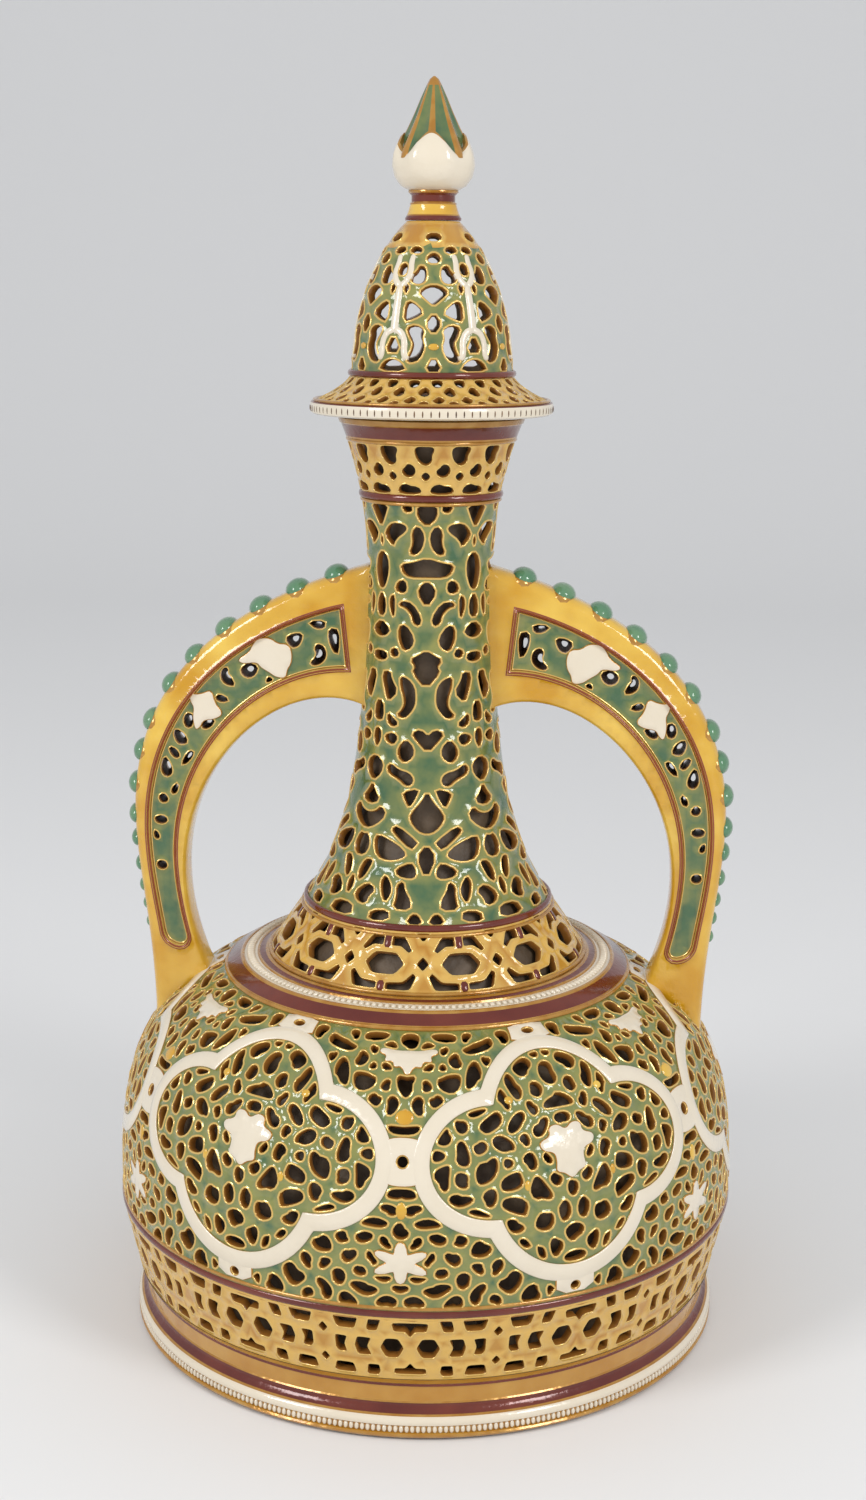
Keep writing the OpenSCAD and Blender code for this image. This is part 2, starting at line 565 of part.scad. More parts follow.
lid_top_r = lid_at(finial_z);
stem_r = lid_top_r - 1.6;
module lid_collar() color(maroon)
    rotate_extrude()
        polygon([[0, finial_z], [lid_top_r, finial_z], [lid_top_r, finial_z + 1.4],
            [stem_r + 0.6, finial_z + 2], [stem_r, finial_z + 4], [stem_r, bud_z - 2.4],
            [stem_r + 1.2, bud_z - 1.4], [stem_r + 1.2, bud_z], [0, bud_z]]);

// Bud: a bellied cup whose brim is cut into petals
bud_brim_r = 0.76 * bud_r;
bud_petals = 8;
function belly(a) = [bud_r * cos(a), bud_z + bud_h * (0.55 + (a < 0 ? 0.65 : 0.61) * sin(a))];
module finial_bud() color(cream)
    difference() {
        rotate_extrude()
            polygon(concat([[0, bud_z], [stem_r + 1.2, bud_z]], [for (a = [-50:12:40]) belly(a)],
                [[bud_brim_r, spire_z], [0, spire_z]]));
        for (k = [0:bud_petals - 1])
            rotate([0, 0, 360 * (k + 0.5) / bud_petals])
                translate([bud_r + 0.4, 0, spire_z + 0.6])
                    sphere(r = 3.4);
    }

spire_r = bud_brim_r - 1;
spire_tip = 0.6;
rib_w = 1.6;
module finial_spire() color(green)
    union() {
        translate([0, 0, spire_z])
            cylinder(h = spire_h, r1 = spire_r - 0.7, r2 = spire_tip);
        for (k = [0:spire_ribs - 1])
            rotate([90, 0, 360 * k / spire_ribs])
                linear_extrude(height = rib_w, center = true)
                    polygon([[0, spire_z], [spire_r, spire_z], [spire_tip + 0.3, spire_z + spire_h - 0.8],
                        [0, spire_z + spire_h - 0.8]]);
    }

foot_ring();
base_disc();
inner_vessel();
neck_liner();
lower_band();
body_shell();
shoulder_ring();
neck_collar();
neck_shell();
neck_band();
mouth_rim();
left_handle();
right_handle();
left_handle_panel();
right_handle_panel();
left_handle_jewels();
right_handle_jewels();
lid_spigot();
lid_flange();
lid_skirt();
lid_dome();
lid_collar();
finial_bud();
finial_spire();
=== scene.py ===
import math

import bpy
import numpy as np
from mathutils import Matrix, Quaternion, Vector
from mathutils.geometry import delaunay_2d_cdt


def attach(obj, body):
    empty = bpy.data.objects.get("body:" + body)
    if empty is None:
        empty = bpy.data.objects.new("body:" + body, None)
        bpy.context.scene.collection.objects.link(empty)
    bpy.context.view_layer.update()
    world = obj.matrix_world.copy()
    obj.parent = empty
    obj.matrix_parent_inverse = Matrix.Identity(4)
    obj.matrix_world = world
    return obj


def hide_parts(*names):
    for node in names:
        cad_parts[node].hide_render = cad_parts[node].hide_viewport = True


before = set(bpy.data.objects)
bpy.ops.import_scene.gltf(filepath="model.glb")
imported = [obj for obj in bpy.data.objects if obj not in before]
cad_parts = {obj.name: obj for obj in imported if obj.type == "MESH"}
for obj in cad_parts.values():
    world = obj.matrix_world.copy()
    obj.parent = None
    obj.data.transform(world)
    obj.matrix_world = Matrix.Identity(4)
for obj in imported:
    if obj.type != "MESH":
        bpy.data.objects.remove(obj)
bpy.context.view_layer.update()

MM = 0.001
TAU = 2 * math.pi

# Levels of the tiers in millimetres, as in the part's source
BAND_Z, BODY_Z, SHOULDER_Z, COLLAR_Z, NECK_Z = 18.5, 41.0, 113.0, 117.8, 134.8
NECK_BAND_Z, MOUTH_Z, SKIRT_Z, LID_DOME_Z, FINIAL_Z, TOP_Z = 260.3, 283.8, 287.7, 295.7, 339.7, 380.2

# Radius by which lengths across the body's unrolled wall become angles, and its repeat in degrees
BODY_ACROSS = 97.3
SIXTH = 60
MEDALLION = 30.0

# How openings grow: millimetres a step, gap to a plaque, how far off a neighbour counts, and the notch that
# turns a larger opening into a scroll (depth, width, turn from one opening to the next, least size)
GROWTH, PLAQUE_GAP, NEIGHBOUR = 0.12, 0.8, 20
NOTCH, NOTCH_WIDTH, NOTCH_TURN, NOTCH_LEAST = 0.36, 0.6, 2.4, 3.2

# Half thickness of the handles' frames and of the panels in them
FRAME_HALF, PANEL_HALF = 6.5, 4.8


# Finishes

def tint(r, g, b):
    """An 8-bit colour as a linear one."""
    def channel(c):
        c = c / 255
        return c / 12.92 if c <= 0.04045 else ((c + 0.055) / 1.055) ** 2.4
    return (channel(r), channel(g), channel(b), 1.0)


class Value:
    """A socket with arithmetic: each step adds a Math node."""

    def __init__(self, finish, socket):
        self.finish = finish
        self.socket = socket

    def step(self, operation, a, b):
        return self.finish.node("ShaderNodeMath", {"operation": operation}, {0: a, 1: b})

    def __add__(self, other):
        return self.step("ADD", self, other)

    def __radd__(self, other):
        return self.step("ADD", other, self)

    def __sub__(self, other):
        return self.step("SUBTRACT", self, other)

    def __rsub__(self, other):
        return self.step("SUBTRACT", other, self)

    def __mul__(self, other):
        return self.step("MULTIPLY", self, other)

    def __rmul__(self, other):
        return self.step("MULTIPLY", other, self)


class Finish:
    """A material with one Principled shader, and a method that adds any node to it."""

    def __init__(self, name):
        self.material = bpy.data.materials.new(name)
        self.material.use_nodes = True
        self.tree = self.material.node_tree
        self.shader = self.tree.nodes["Principled BSDF"]

    def put(self, socket, value):
        if isinstance(value, Value):
            self.tree.links.new(value.socket, socket)
        else:
            socket.default_value = value

    def node(self, kind, settings, inputs, out=0):
        made = self.tree.nodes.new(kind)
        for key, value in settings.items():
            setattr(made, key, value)
        for key, value in inputs.items():
            self.put(made.inputs[key], value)
        return Value(self, made.outputs[out])

    def mix(self, share, a, b):
        return self.node("ShaderNodeMix", {"data_type": "RGBA"}, {0: share, 6: a, 7: b}, 2)

    def set(self, **inputs):
        for key, value in inputs.items():
            self.put(self.shader.inputs[key.replace("_", " ")], value)


def fired(name, thick, thin, rough, cloud_size, pooled=0.8, metal=0.0, coat=0.5, ripple=0.25, full=1.3):
    """Fired glaze or lustre: one colour where it lies thick, another where it runs off an edge."""
    finish = Finish(name)
    place = finish.node("ShaderNodeTexCoord", {}, {}, "Object")
    cloud = finish.node("ShaderNodeTexNoise", {}, {
        "Vector": place, "Scale": 1000 / cloud_size, "Detail": 3.0})
    skin = finish.node("ShaderNodeTexNoise", {}, {"Vector": place, "Scale": 420.0, "Detail": 2.0})
    edge = finish.node("ShaderNodeAttribute", {"attribute_name": "edge"}, {}, "Fac")
    share = finish.node("ShaderNodeMapRange", {}, {
        "Value": edge * pooled + cloud, "From Min": 0.36, "From Max": full})
    finish.set(Base_Color=finish.mix(share, thick, thin),
               Roughness=rough + (skin - 0.5) * 0.12,
               Metallic=metal,
               Coat_Weight=coat,
               Coat_Roughness=0.06,
               Normal=finish.node("ShaderNodeBump", {},
                                  {"Strength": ripple, "Distance": 0.0006, "Height": skin}))
    return finish.material


green = fired("green_glaze", tint(62, 96, 62), tint(148, 144, 74), 0.13, 7, pooled=0.36, full=1.2)
sage = fired("sage_jewels", tint(80, 126, 92), tint(136, 162, 116), 0.1, 9)
ochre = fired("ochre_glaze", tint(178, 124, 36), tint(210, 168, 82), 0.13, 12)
amber = fired("amber_glaze", tint(198, 144, 22), tint(234, 198, 88), 0.13, 22, pooled=0.0, ripple=0.35,
              full=0.8)
cream = fired("cream_glaze", tint(220, 208, 186), tint(232, 222, 204), 0.17, 14)
maroon = fired("maroon_lustre", tint(94, 28, 16), tint(138, 64, 40), 0.17, 16, metal=0.12, coat=0.35)
gold = fired("gold_rims", tint(172, 118, 38), tint(218, 180, 98), 0.2, 5, metal=0.35)
brown = fired("brown_walls", tint(70, 42, 14), tint(146, 96, 38), 0.3, 6, coat=0.2)
# Painted shade: a near-black brown that stands in for the shade deep inside the openings of the handle
# panels
painted_shade = fired("painted_shade_hollow", tint(34, 20, 8), tint(62, 38, 16), 0.5, 6, coat=0.0)
clay = fired("bare_clay", tint(84, 68, 50), tint(130, 110, 84), 0.55, 8, coat=0.0, ripple=0.6)

# Paints of pierced work: front, rims, walls of the openings, back
green_work = [green, gold, brown, clay]
ochre_work = [ochre, gold, brown, clay]


# Walls and the places on them

def turn_from(start, end):
    """Angle between two directions, the shorter way round."""
    return (end - start + math.pi) % TAU - math.pi


class Wall:
    """A turned wall, given by its outer line as radii and heights. Places on it are an angle and a
    length."""

    def __init__(self, line, sunk=0.0, across=None):
        self.r, self.z = np.array(line, float).T
        self.s = np.concatenate([[0], np.cumsum(np.hypot(np.diff(self.r), np.diff(self.z)))])
        self.length = self.s[-1]
        dr, dz = np.gradient(self.r, self.s), np.gradient(self.z, self.s)
        self.nr, self.nz = dz / np.hypot(dr, dz), -dr / np.hypot(dr, dz)
        self.sunk = sunk
        self.across = across
        self.mean = float(self.r.mean())

    def radius(self, up):
        """Radius by which lengths across the wall become angles."""
        return np.full(np.shape(up), self.across) if self.across else np.interp(up, self.s, self.r)

    def place(self, turn, up, lift):
        lift = lift - self.sunk
        r = np.interp(up, self.s, self.r) + lift * np.interp(up, self.s, self.nr)
        z = np.interp(up, self.s, self.z) + lift * np.interp(up, self.s, self.nz)
        return np.stack([r * np.sin(turn), -r * np.cos(turn), z], -1) * MM

    def between(self, turn, up, other, level):
        """Distances across and up from one place to another."""
        return np.array([turn_from(turn, other) * float(self.radius((up + level) / 2)), level - up])

    def spread(self, turn, up):
        """The wall spread out flat as a ring."""
        ring = np.exp(-np.asarray(up) / self.mean)
        return np.stack([ring * np.cos(turn), ring * np.sin(turn)], -1)


class Slab:
    """An upright slab: places on it are a distance out from the axis and a height."""

    def __init__(self, half):
        self.half = half

    def radius(self, up):
        return np.ones(np.shape(up))

    def place(self, out, up, lift):
        return np.stack([out, 0 * up - self.half - lift, up], -1) * MM

    def spread(self, out, up):
        return np.stack([out, up], -1) * 0.01


def shifted(loop, distance):
    """A closed loop moved outwards by a distance, or inwards by a negative one."""
    ahead, behind = np.roll(loop, -1, 0) - loop, loop - np.roll(loop, 1, 0)
    ahead = ahead / np.linalg.norm(ahead, axis=1)[:, None]
    behind = behind / np.linalg.norm(behind, axis=1)[:, None]
    normal = np.stack([ahead[:, 1] + behind[:, 1], -ahead[:, 0] - behind[:, 0]], 1)
    length = np.linalg.norm(normal, axis=1)[:, None]
    return loop + distance * normal / length * np.minimum(2 / length, 1.5)


def mirrored(loop):
    return (loop * (-1, 1))[::-1]


def within(points, loop):
    """Which points lie inside a closed loop."""
    x, y = points[:, 0:1], points[:, 1:2]
    x0, y0 = loop[:, 0][None], loop[:, 1][None]
    x1, y1 = np.roll(loop[:, 0], -1)[None], np.roll(loop[:, 1], -1)[None]
    span = np.where(y1 == y0, 1e-12, y1 - y0)
    crossing = ((y0 > y) != (y1 > y)) & (x < (x1 - x0) * (y - y0) / span + x0)
    return crossing.sum(1) % 2 == 1


# Outlines of openings, anticlockwise round their own centre

def oval(length, width, turn=0.0, taper=0.0, bend=0.0):
    count = 20 if length * width > 24 else 16
    t = TAU * np.arange(count) / count
    x = length / 2 * np.cos(t)
    y = width / 2 * np.sin(t) * (1 - taper * np.cos(t)) + bend * (2 * x * x / length - length / 8)
    a = math.radians(turn)
    return np.stack([x * math.cos(a) - y * math.sin(a), x * math.sin(a) + y * math.cos(a)], 1)


def straight(points, soft=0.22):
    """A straight-sided opening with softened corners."""
    points = np.array(points, float)
    before, after = np.roll(points, 1, 0), np.roll(points, -1, 0)
    loop = []
    for b, p, a in zip(before, points, after):
        loop += [p + (b - p) * soft, p + ((b - p) + (a - p)) * soft * 0.22, p + (a - p) * soft]
    return np.array(loop)


def lozenge(w, h):
    return straight([(w / 2, 0), (0, h / 2), (-w / 2, 0), (0, -h / 2)])


def hexagon(w, h, cut):
    return straight([(w / 2, 0), (w / 2 - cut, h / 2), (cut - w / 2, h / 2),
                     (-w / 2, 0), (cut - w / 2, -h / 2), (w / 2 - cut, -h / 2)])


def trapezoid(low, high, h):
    return straight([(low / 2, -h / 2), (high / 2, h / 2), (-high / 2, h / 2), (-low / 2, -h / 2)])


def copies(wall, cells, repeats, start):
    """Cells of [degrees, up, outline] on both sides of an axis, repeated round a wall."""
    made = []
    for degrees, up, outline in cells:
        sides = (1,) if abs(degrees % (180 / repeats)) < 1e-6 else (1, -1)
        for k in range(repeats):
            for side in sides:
                turn = math.radians(start + 360 * k / repeats + side * degrees)
                made.append((turn, up, outline if side == 1 else mirrored(outline)))
    return made


def apart(points, loop):
    """Distance of points from a closed loop, negative inside it."""
    ends = np.roll(loop, -1, 0) - loop
    away = points[:, None] - loop[None]
    share = np.clip((away * ends[None]).sum(2) / (ends ** 2).sum(1)[None], 0, 1)
    far = np.linalg.norm(away - share[..., None] * ends[None], axis=2).min(1)
    return np.where(within(points, loop), -far, far)


def grown(wall, cells, repeats, start, strand, reach, margin=1.0, beside=(), clear=None):
    """Openings that grow from their cells until only a strand is left between them. Beside holds places
    that they keep off, and clear tells how far a place is from anything else in the way."""
    near = copies(wall, cells, repeats, 0)
    shaped = []
    for degrees, up, outline in cells:
        turn = math.radians(degrees)
        far = np.linalg.norm(outline, axis=1)
        steps = np.linspace(0.25, 1, 8)[:, None] * far[None]
        steps = np.concatenate([steps, far[None] + np.arange(1, int(reach / GROWTH) + 1)[:, None] * GROWTH])
        spots = (outline / far[:, None])[None] * steps[..., None]
        flat = spots.reshape(-1, 2)
        room = np.minimum(up + flat[:, 1] - margin, wall.length - margin - up - flat[:, 1])
        own = apart(flat, outline)
        for other, level, loop in near:
            shift = wall.between(turn, up, other, level)
            if 1e-6 <= np.abs(shift).max() <= NEIGHBOUR:
                room = np.minimum(room, apart(flat, loop + shift) - own - strand)
        for other, level, loop in beside:
            shift = wall.between(turn, up, other, level)
            if np.abs(shift).max() < 1.5 * NEIGHBOUR:
                room = np.minimum(room, apart(flat, loop + shift) - PLAQUE_GAP)
        if clear is not None:
            room = np.minimum(room, clear(turn + flat[:, 0] / float(wall.radius(up)), up + flat[:, 1]))
        held = np.cumprod(room.reshape(steps.shape) >= 0, axis=0).sum(0)
        loop = spots[np.maximum(held - 1, 0), np.arange(len(outline))]
        for _ in range(2):
            loop = (np.roll(loop, 1, 0) + 2 * loop + np.roll(loop, -1, 0)) / 4
        if np.ptp(loop, axis=0).min() > NOTCH_LEAST:
            curl = np.angle(np.exp(1j * (np.arctan2(loop[:, 1], loop[:, 0]) - NOTCH_TURN * len(shaped))))
            loop = loop * (1 - NOTCH * np.exp(-(curl / NOTCH_WIDTH) ** 2))[:, None]
        if np.ptp(loop, axis=0).min() > 1.0:
            shaped.append((degrees, up, loop))
    return copies(wall, shaped, repeats, start)


def filled(wall, cells, repeats, strand, margin, beside, clear, least=1.35, largest=5.2):
    """Cells with more openings in the places that are still closed, the widest place first."""
    half = math.pi / repeats
    steps = int(half * wall.mean)
    turn, up = np.meshgrid(half * np.arange(steps + 1) / steps, np.arange(margin, wall.length, 1.0))
    turn, up = turn.ravel(), up.ravel()
    across = wall.radius(up)
    room = np.minimum(np.minimum(up, wall.length - up) - margin + strand, clear(turn, up) + strand)
    between = (turn > 0) & (turn < half)
    room[between] = np.minimum(room, np.minimum(turn, half - turn) * across + strand / 2)[between]

    def keep_off(places, gap):
        for other, level, loop in places:
            flat = np.stack([turn_from(other, turn) * across, up - level], 1)
            close = np.abs(flat).max(1) < np.abs(loop).max() + 6
            room[close] = np.minimum(room[close], apart(flat[close], loop) + gap)

    keep_off([place for place in copies(wall, cells, repeats, 0)
              if abs(turn_from(half / 2, place[0])) < 2 * half], 0)
    keep_off(beside, strand - PLAQUE_GAP)
    made = list(cells)
    while room.max() > strand + least:
        k = int(room.argmax())
        size = min(2 * (room[k] - strand), largest)
        new = [(round(math.degrees(turn[k]), 4), up[k], oval(size, size * 0.8, 47 * len(made)))]
        made += new
        keep_off(copies(wall, new, repeats, 0), 0)
    return made


def widened(wall, openings, most, strand):
    """Openings drawn wider, as far as the strands between them allow."""
    made = []
    for i, (turn, up, loop) in enumerate(openings):
        room, across = most, float(wall.radius(up))
        for j, (other, level, ring) in enumerate(openings):
            shift = np.array([turn_from(turn, other) * across, level - up])
            if i != j and np.abs(shift).max() < NEIGHBOUR:
                gap = min(apart(loop, ring + shift).min(), apart(ring + shift, loop).min())
                room = min(room, (gap - strand) / 2)
        made.append((turn, up, shifted(loop, room)))
    return made


# Making pieces

def settle(name, body, replaced=(), angle=60):
    """Finishes the piece that was just made: its name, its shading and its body."""
    piece = bpy.context.view_layer.objects.active
    piece.name = name
    piece.data.name = name
    bpy.ops.object.shade_smooth_by_angle(angle=math.radians(angle))
    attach(piece, body)
    if replaced:
        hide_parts(*replaced)


def set_down():
    """Sets the place, turn and scale of the active piece into its mesh."""
    bpy.ops.object.transform_apply(location=True, rotation=True, scale=True)


def closed_up():
    """Joins the doubled points of the active piece, and turns its faces outwards."""
    bpy.ops.object.mode_set(mode="EDIT")
    bpy.ops.mesh.select_all(action="SELECT")
    bpy.ops.mesh.remove_doubles(threshold=1e-6)
    bpy.ops.mesh.normals_make_consistent(inside=False)
    bpy.ops.object.mode_set(mode="OBJECT")


def pick(pieces):
    bpy.ops.object.select_all(action="DESELECT")
    for piece in pieces:
        piece.select_set(True)
    bpy.context.view_layer.objects.active = pieces[0]


def drawn(points, faces, tags, paints, edge=None):
    """A new object from points and faces, painted by tag."""
    mesh = bpy.data.meshes.new("drawn")
    mesh.from_pydata([tuple(p) for p in points], [], [tuple(f) for f in faces])
    for paint in paints:
        mesh.materials.append(paint)
    mesh.polygons.foreach_set("material_index", np.array(tags, np.int32))
    if edge is not None:
        layer = mesh.attributes.new("edge", "FLOAT", "POINT")
        layer.data.foreach_set("value", np.array(edge, np.float32))
    mesh.validate()
    piece = bpy.data.objects.new("drawn", mesh)
    bpy.context.scene.collection.objects.link(piece)
    pick([piece])


def netted(flat, loops, outer):
    """Triangles between closed loops on a flat sheet. The loop numbered outer holds the rest."""
    owner = np.full(len(flat), -1)
    edges = []
    for k, loop in enumerate(loops):
        owner[loop] = k
        edges += list(zip(loop, np.roll(loop, -1)))
    found = delaunay_2d_cdt([Vector(p) for p in flat], [(int(a), int(b)) for a, b in edges], [], 0, 1e-7)
    source = [first[0] if first else -1 for first in found[3]]
    if min(source) < 0:
        raise ValueError("two openings cross each other")
    triangles = np.array([[source[i] for i in f] for f in found[2]])
    a, b, c = flat[triangles[:, 0]], flat[triangles[:, 1]], flat[triangles[:, 2]]
    turned = (b[:, 0] - a[:, 0]) * (c[:, 1] - a[:, 1]) - (b[:, 1] - a[:, 1]) * (c[:, 0] - a[:, 0])
    triangles[turned < 0] = triangles[turned < 0][:, ::-1]
    same = (owner[triangles[:, 0]] >= 0) & (owner[triangles[:, 0]] == owner[triangles[:, 1]])
    same &= owner[triangles[:, 0]] == owner[triangles[:, 2]]
    keep = np.abs(turned) > 1e-14
    centre = (a + b + c) / 3
    for k in np.unique(owner[triangles[same, 0]]):
        mine = np.nonzero(same & (owner[triangles[:, 0]] == k))[0]
        inside = within(centre[mine], flat[loops[k]])
        keep[mine[~inside if k == outer else inside]] = False
    return triangles[keep]


def pierced(surface, frames, grid, thick, paints, field=None):
    """A pierced sheet. Each frame is a list of rings from the front to the back of an opening or of the
    outer edge, given as [places, lift], and the paint of each strip. The first frame is the outer edge."""
    fronts, loops, count = [], [], 0
    for rings, _ in frames:
        fronts.append(rings[0][0])
        loops.append(np.arange(count, count + len(rings[0][0])))
        count += len(rings[0][0])
    places = np.concatenate(fronts + [grid])
    triangles = netted(surface.spread(places[:, 0], places[:, 1]), loops, 0)
    points = [surface.place(places[:, 0], places[:, 1], 0.0)]
    edge = [np.r_[np.ones(count), np.zeros(len(grid))]]
    back = np.arange(len(places))
    total = len(places)
    quads, tags = [], []
    for k, (rings, strips) in enumerate(frames):
        n = len(rings[0][0])
        before = loops[k]
        for (ring, lift), paint in zip(rings[1:], strips):
            points.append(surface.place(ring[:, 0], ring[:, 1], lift))
            edge.append(np.ones(n))
            now = np.arange(total, total + n)
            total += n
            a, b = np.roll(before, -1), np.roll(now, -1)
            quads.append(np.stack([before, a, b, now] if k else [before, now, b, a], 1))
            tags += [paint] * n
            before = now
        back[loops[k]] = before
    points.append(surface.place(grid[:, 0], grid[:, 1], -thick))
    edge.append(np.zeros(len(grid)))
    back[count:] = np.arange(total, total + len(grid))
    if field is None:
        shown = [0] * len(triangles)
    else:
        middle = places[triangles].mean(1)
        shown = list(field(middle[:, 0], middle[:, 1]))
    faces = triangles.tolist() + np.concatenate(quads).tolist() + back[triangles][:, ::-1].tolist()
    tags = shown + tags + [len(paints) - 1] * len(triangles)
    drawn(np.concatenate(points), faces, tags, paints, np.concatenate(edge))


# Rim of an opening from the front to the back: distance out from the opening, and lift
RIM = [(0.5, 0.0), (0.32, 0.2), (0.08, 0.22), (-0.1, 0.0)]
FINE_RIM = [(0.38, 0.0), (0.24, 0.16), (0.06, 0.18), (-0.08, 0.0)]
RIM_PAINTS = [1, 1, 1, 2, 2]


def openwork(wall, openings, thick, paints, field=None, spacing=3.0, rim=RIM):
    """A turned wall with openings of [angle, up, outline]."""
    steps = int(TAU * wall.mean / spacing)
    around = TAU * np.arange(steps) / steps
    frames = []
    for up in (0.0, wall.length):
        ring = np.stack([around, np.full(steps, up)], 1)
        frames.append(([(ring, 0.0), (ring, -thick)], [2]))
    marks = []
    for turn, up, outline in openings:
        across = float(wall.radius(up))
        rings = []
        for out, lift in rim + [(-0.16, 0.45 - thick), (0.0, -thick)]:
            loop = shifted(outline, out)
            level = np.clip(up + loop[:, 1], 0.3, wall.length - 0.3)
            rings.append((np.stack([turn + loop[:, 0] / across, level], 1), lift))
        frames.append((rings, RIM_PAINTS))
        marks.append((turn % TAU, up, across, shifted(outline, rim[0][0] + 0.9)))
    levels = int(wall.length / spacing)
    grid = np.array([((i + 0.5 * (j % 2)) * TAU / steps, wall.length * j / levels)
                     for j in range(1, levels) for i in range(steps)])
    free = np.ones(len(grid), bool)
    for turn, up, across, loop in marks:
        near = np.stack([turn_from(turn, grid[:, 0]) * across, grid[:, 1] - up], 1)
        close = np.nonzero(np.abs(near).max(1) < np.abs(loop).max() + 0.1)[0]
        free[close[within(near[close], loop)]] = False
    pierced(wall, frames, grid[free], thick, paints, field)


def rounded(points, rounds):
    """An outline made smoother by cutting its corners."""
    loop = np.array(points, float)
    for _ in range(rounds):
        ahead = np.roll(loop, -1, 0)
        loop = np.stack([0.75 * loop + 0.25 * ahead, 0.25 * loop + 0.75 * ahead], 1).reshape(-1, 2)
    return loop


def both(half):
    """A whole outline from its right half, drawn from the top down."""
    half = [tuple(p) for p in half]
    return [(-x, y) for x, y in half if x > 0] + [(x, y) for x, y in reversed(half)]


def plaques(surface, motifs, height, paints, spacing=2.6):
    """Raised plaques of [angle, up, outline, openings] on a wall."""
    all_points, all_faces, all_tags, base = [], [], [], 0
    for turn, up, outline, holes in motifs:
        loops = [np.array(outline)] + [np.array(h) for h in holes]
        low, high = loops[0].min(0), loops[0].max(0)
        xs = np.arange(low[0] + spacing / 2, high[0], spacing)
        ys = np.arange(low[1] + spacing / 2, high[1], spacing)
        grid = np.array([(x, y) for x in xs for y in ys]).reshape(-1, 2)
        if len(grid):
            free = within(grid, shifted(loops[0], -0.6))
            for hole in loops[1:]:
                free &= ~within(grid, shifted(hole, 0.6))
            grid = grid[free]
        flat = np.concatenate(loops + [grid])
        numbers, count = [], 0
        for loop in loops:
            numbers.append(np.arange(count, count + len(loop)))
            count += len(loop)
        triangles = netted(flat * 0.01, numbers, 0)
        across = float(surface.radius(up))

        def at(spots, lift):
            return surface.place(turn + spots[:, 0] / across, up + spots[:, 1], lift)

        points = [at(flat, height)]
        faces, tags = triangles.tolist(), [0] * len(triangles)
        total = len(flat)
        for k, loop in enumerate(loops):
            before = numbers[k]
            for grow, lift in ((0.25, height - 0.25), (0.35, -0.6)):
                points.append(at(shifted(loop, grow if k == 0 else -grow), lift))
                now = np.arange(total, total + len(loop))
                total += len(loop)
                a, b = np.roll(before, -1), np.roll(now, -1)
                faces += np.stack([before, now, b, a] if k == 0 else [before, a, b, now], 1).tolist()
                tags += [1] * len(loop)
                before = now
        all_points += points
        all_faces += [[i + base for i in f] for f in faces]
        all_tags += tags
        base += total
    drawn(np.concatenate(all_points), all_faces, all_tags, paints)


def turned(line, paints, bands, steps=128):
    """A piece turned from circles: each circle is extruded from the last, and each band has its paint."""
    r, z = line[0]
    bpy.ops.mesh.primitive_circle_add(vertices=steps, radius=r * MM, location=(0, 0, z * MM))
    piece = bpy.context.object
    set_down()
    bpy.ops.object.mode_set(mode="EDIT")
    for (r0, z0), (r1, z1) in zip(line, line[1:] + line[:1]):
        bpy.ops.mesh.extrude_region_move(TRANSFORM_OT_translate={"value": (0, 0, (z1 - z0) * MM)})
        bpy.ops.transform.resize(value=(r1 / r0, r1 / r0, 1), center_override=(0, 0, z1 * MM))
    bpy.ops.object.mode_set(mode="OBJECT")
    mesh = piece.data
    for paint in paints:
        mesh.materials.append(paint)
    for face in mesh.polygons:
        face.material_index = bands[min(v // steps for v in face.vertices)]
    closed_up()
    return piece


def bead_ring(radius, z, count, long, high, deep, paint):
    """A ring of beads: one bead is shaped, then copied round the axis."""
    bpy.ops.mesh.primitive_uv_sphere_add(segments=8, ring_count=5, radius=MM,
                                         location=(radius * MM, 0, z * MM))
    piece = bpy.context.object
    piece.scale = (deep / 2, long / 2, high / 2)
    set_down()
    piece.data.materials.append(paint)
    bpy.ops.object.mode_set(mode="EDIT")
    bpy.ops.mesh.select_all(action="SELECT")
    bpy.ops.mesh.spin(steps=count - 1, dupli=True, angle=TAU * (count - 1) / count, center=(0, 0, 0),
                      axis=(0, 0, 1))
    bpy.ops.object.mode_set(mode="OBJECT")


# Lines of the walls

def body_at(z):
    return 97.4 * (1 - (max(0.0, z - BODY_Z) / 81) ** 3.2) ** (1 / 2.7)


def neck_at(z):
    return 19 + 19.5 * math.exp(-(z - NECK_Z) / 28) + 9 * (max(0.0, z - MOUTH_Z + 42) / 42) ** 1.8


def skirt_at(z):
    return 24.3 + 11.2 * (1 - (z - SKIRT_Z) / 8) ** 1.6


def lid_at(z):
    return 24.3 * (1 - ((z - LID_DOME_Z) / 48) ** 1.8) ** (1 / 1.75)


def line_of(radius, low, high, steps):
    """A wall's line, drawn closer together towards its top."""
    levels = [low + (high - low) * math.sin(math.pi / 2 * i / steps) for i in range(steps + 1)]
    return [(radius(z), z) for z in levels]


def even_line(radius, low, rise, steps=20):
    """A wall's line, drawn at even heights."""
    return [(radius(low + rise * i / steps), low + rise * i / steps) for i in range(steps + 1)]


body_wall = Wall(line_of(body_at, BODY_Z, SHOULDER_Z, 60), sunk=0.5, across=BODY_ACROSS)
band_wall = Wall([(92.3 + 5.1 * i / 20, BAND_Z + 22.5 * i / 20) for i in range(21)], sunk=0.3)
collar_wall = Wall([(50 - 11.5 * i / 20, COLLAR_Z + 17 * i / 20) for i in range(21)], sunk=0.3)
neck_wall = Wall(even_line(neck_at, NECK_Z, 125.5, 90), sunk=0.3)
neck_band_wall = Wall(even_line(neck_at, NECK_BAND_Z, 16.5), sunk=0.3)
skirt_wall = Wall(even_line(skirt_at, SKIRT_Z, 8), sunk=0.3)
lid_wall = Wall(line_of(lid_at, LID_DOME_Z, FINIAL_Z, 50), sunk=0.3)


# Body: medallions between spandrels, joined by bosses. Across and up in millimetres on the unrolled wall.

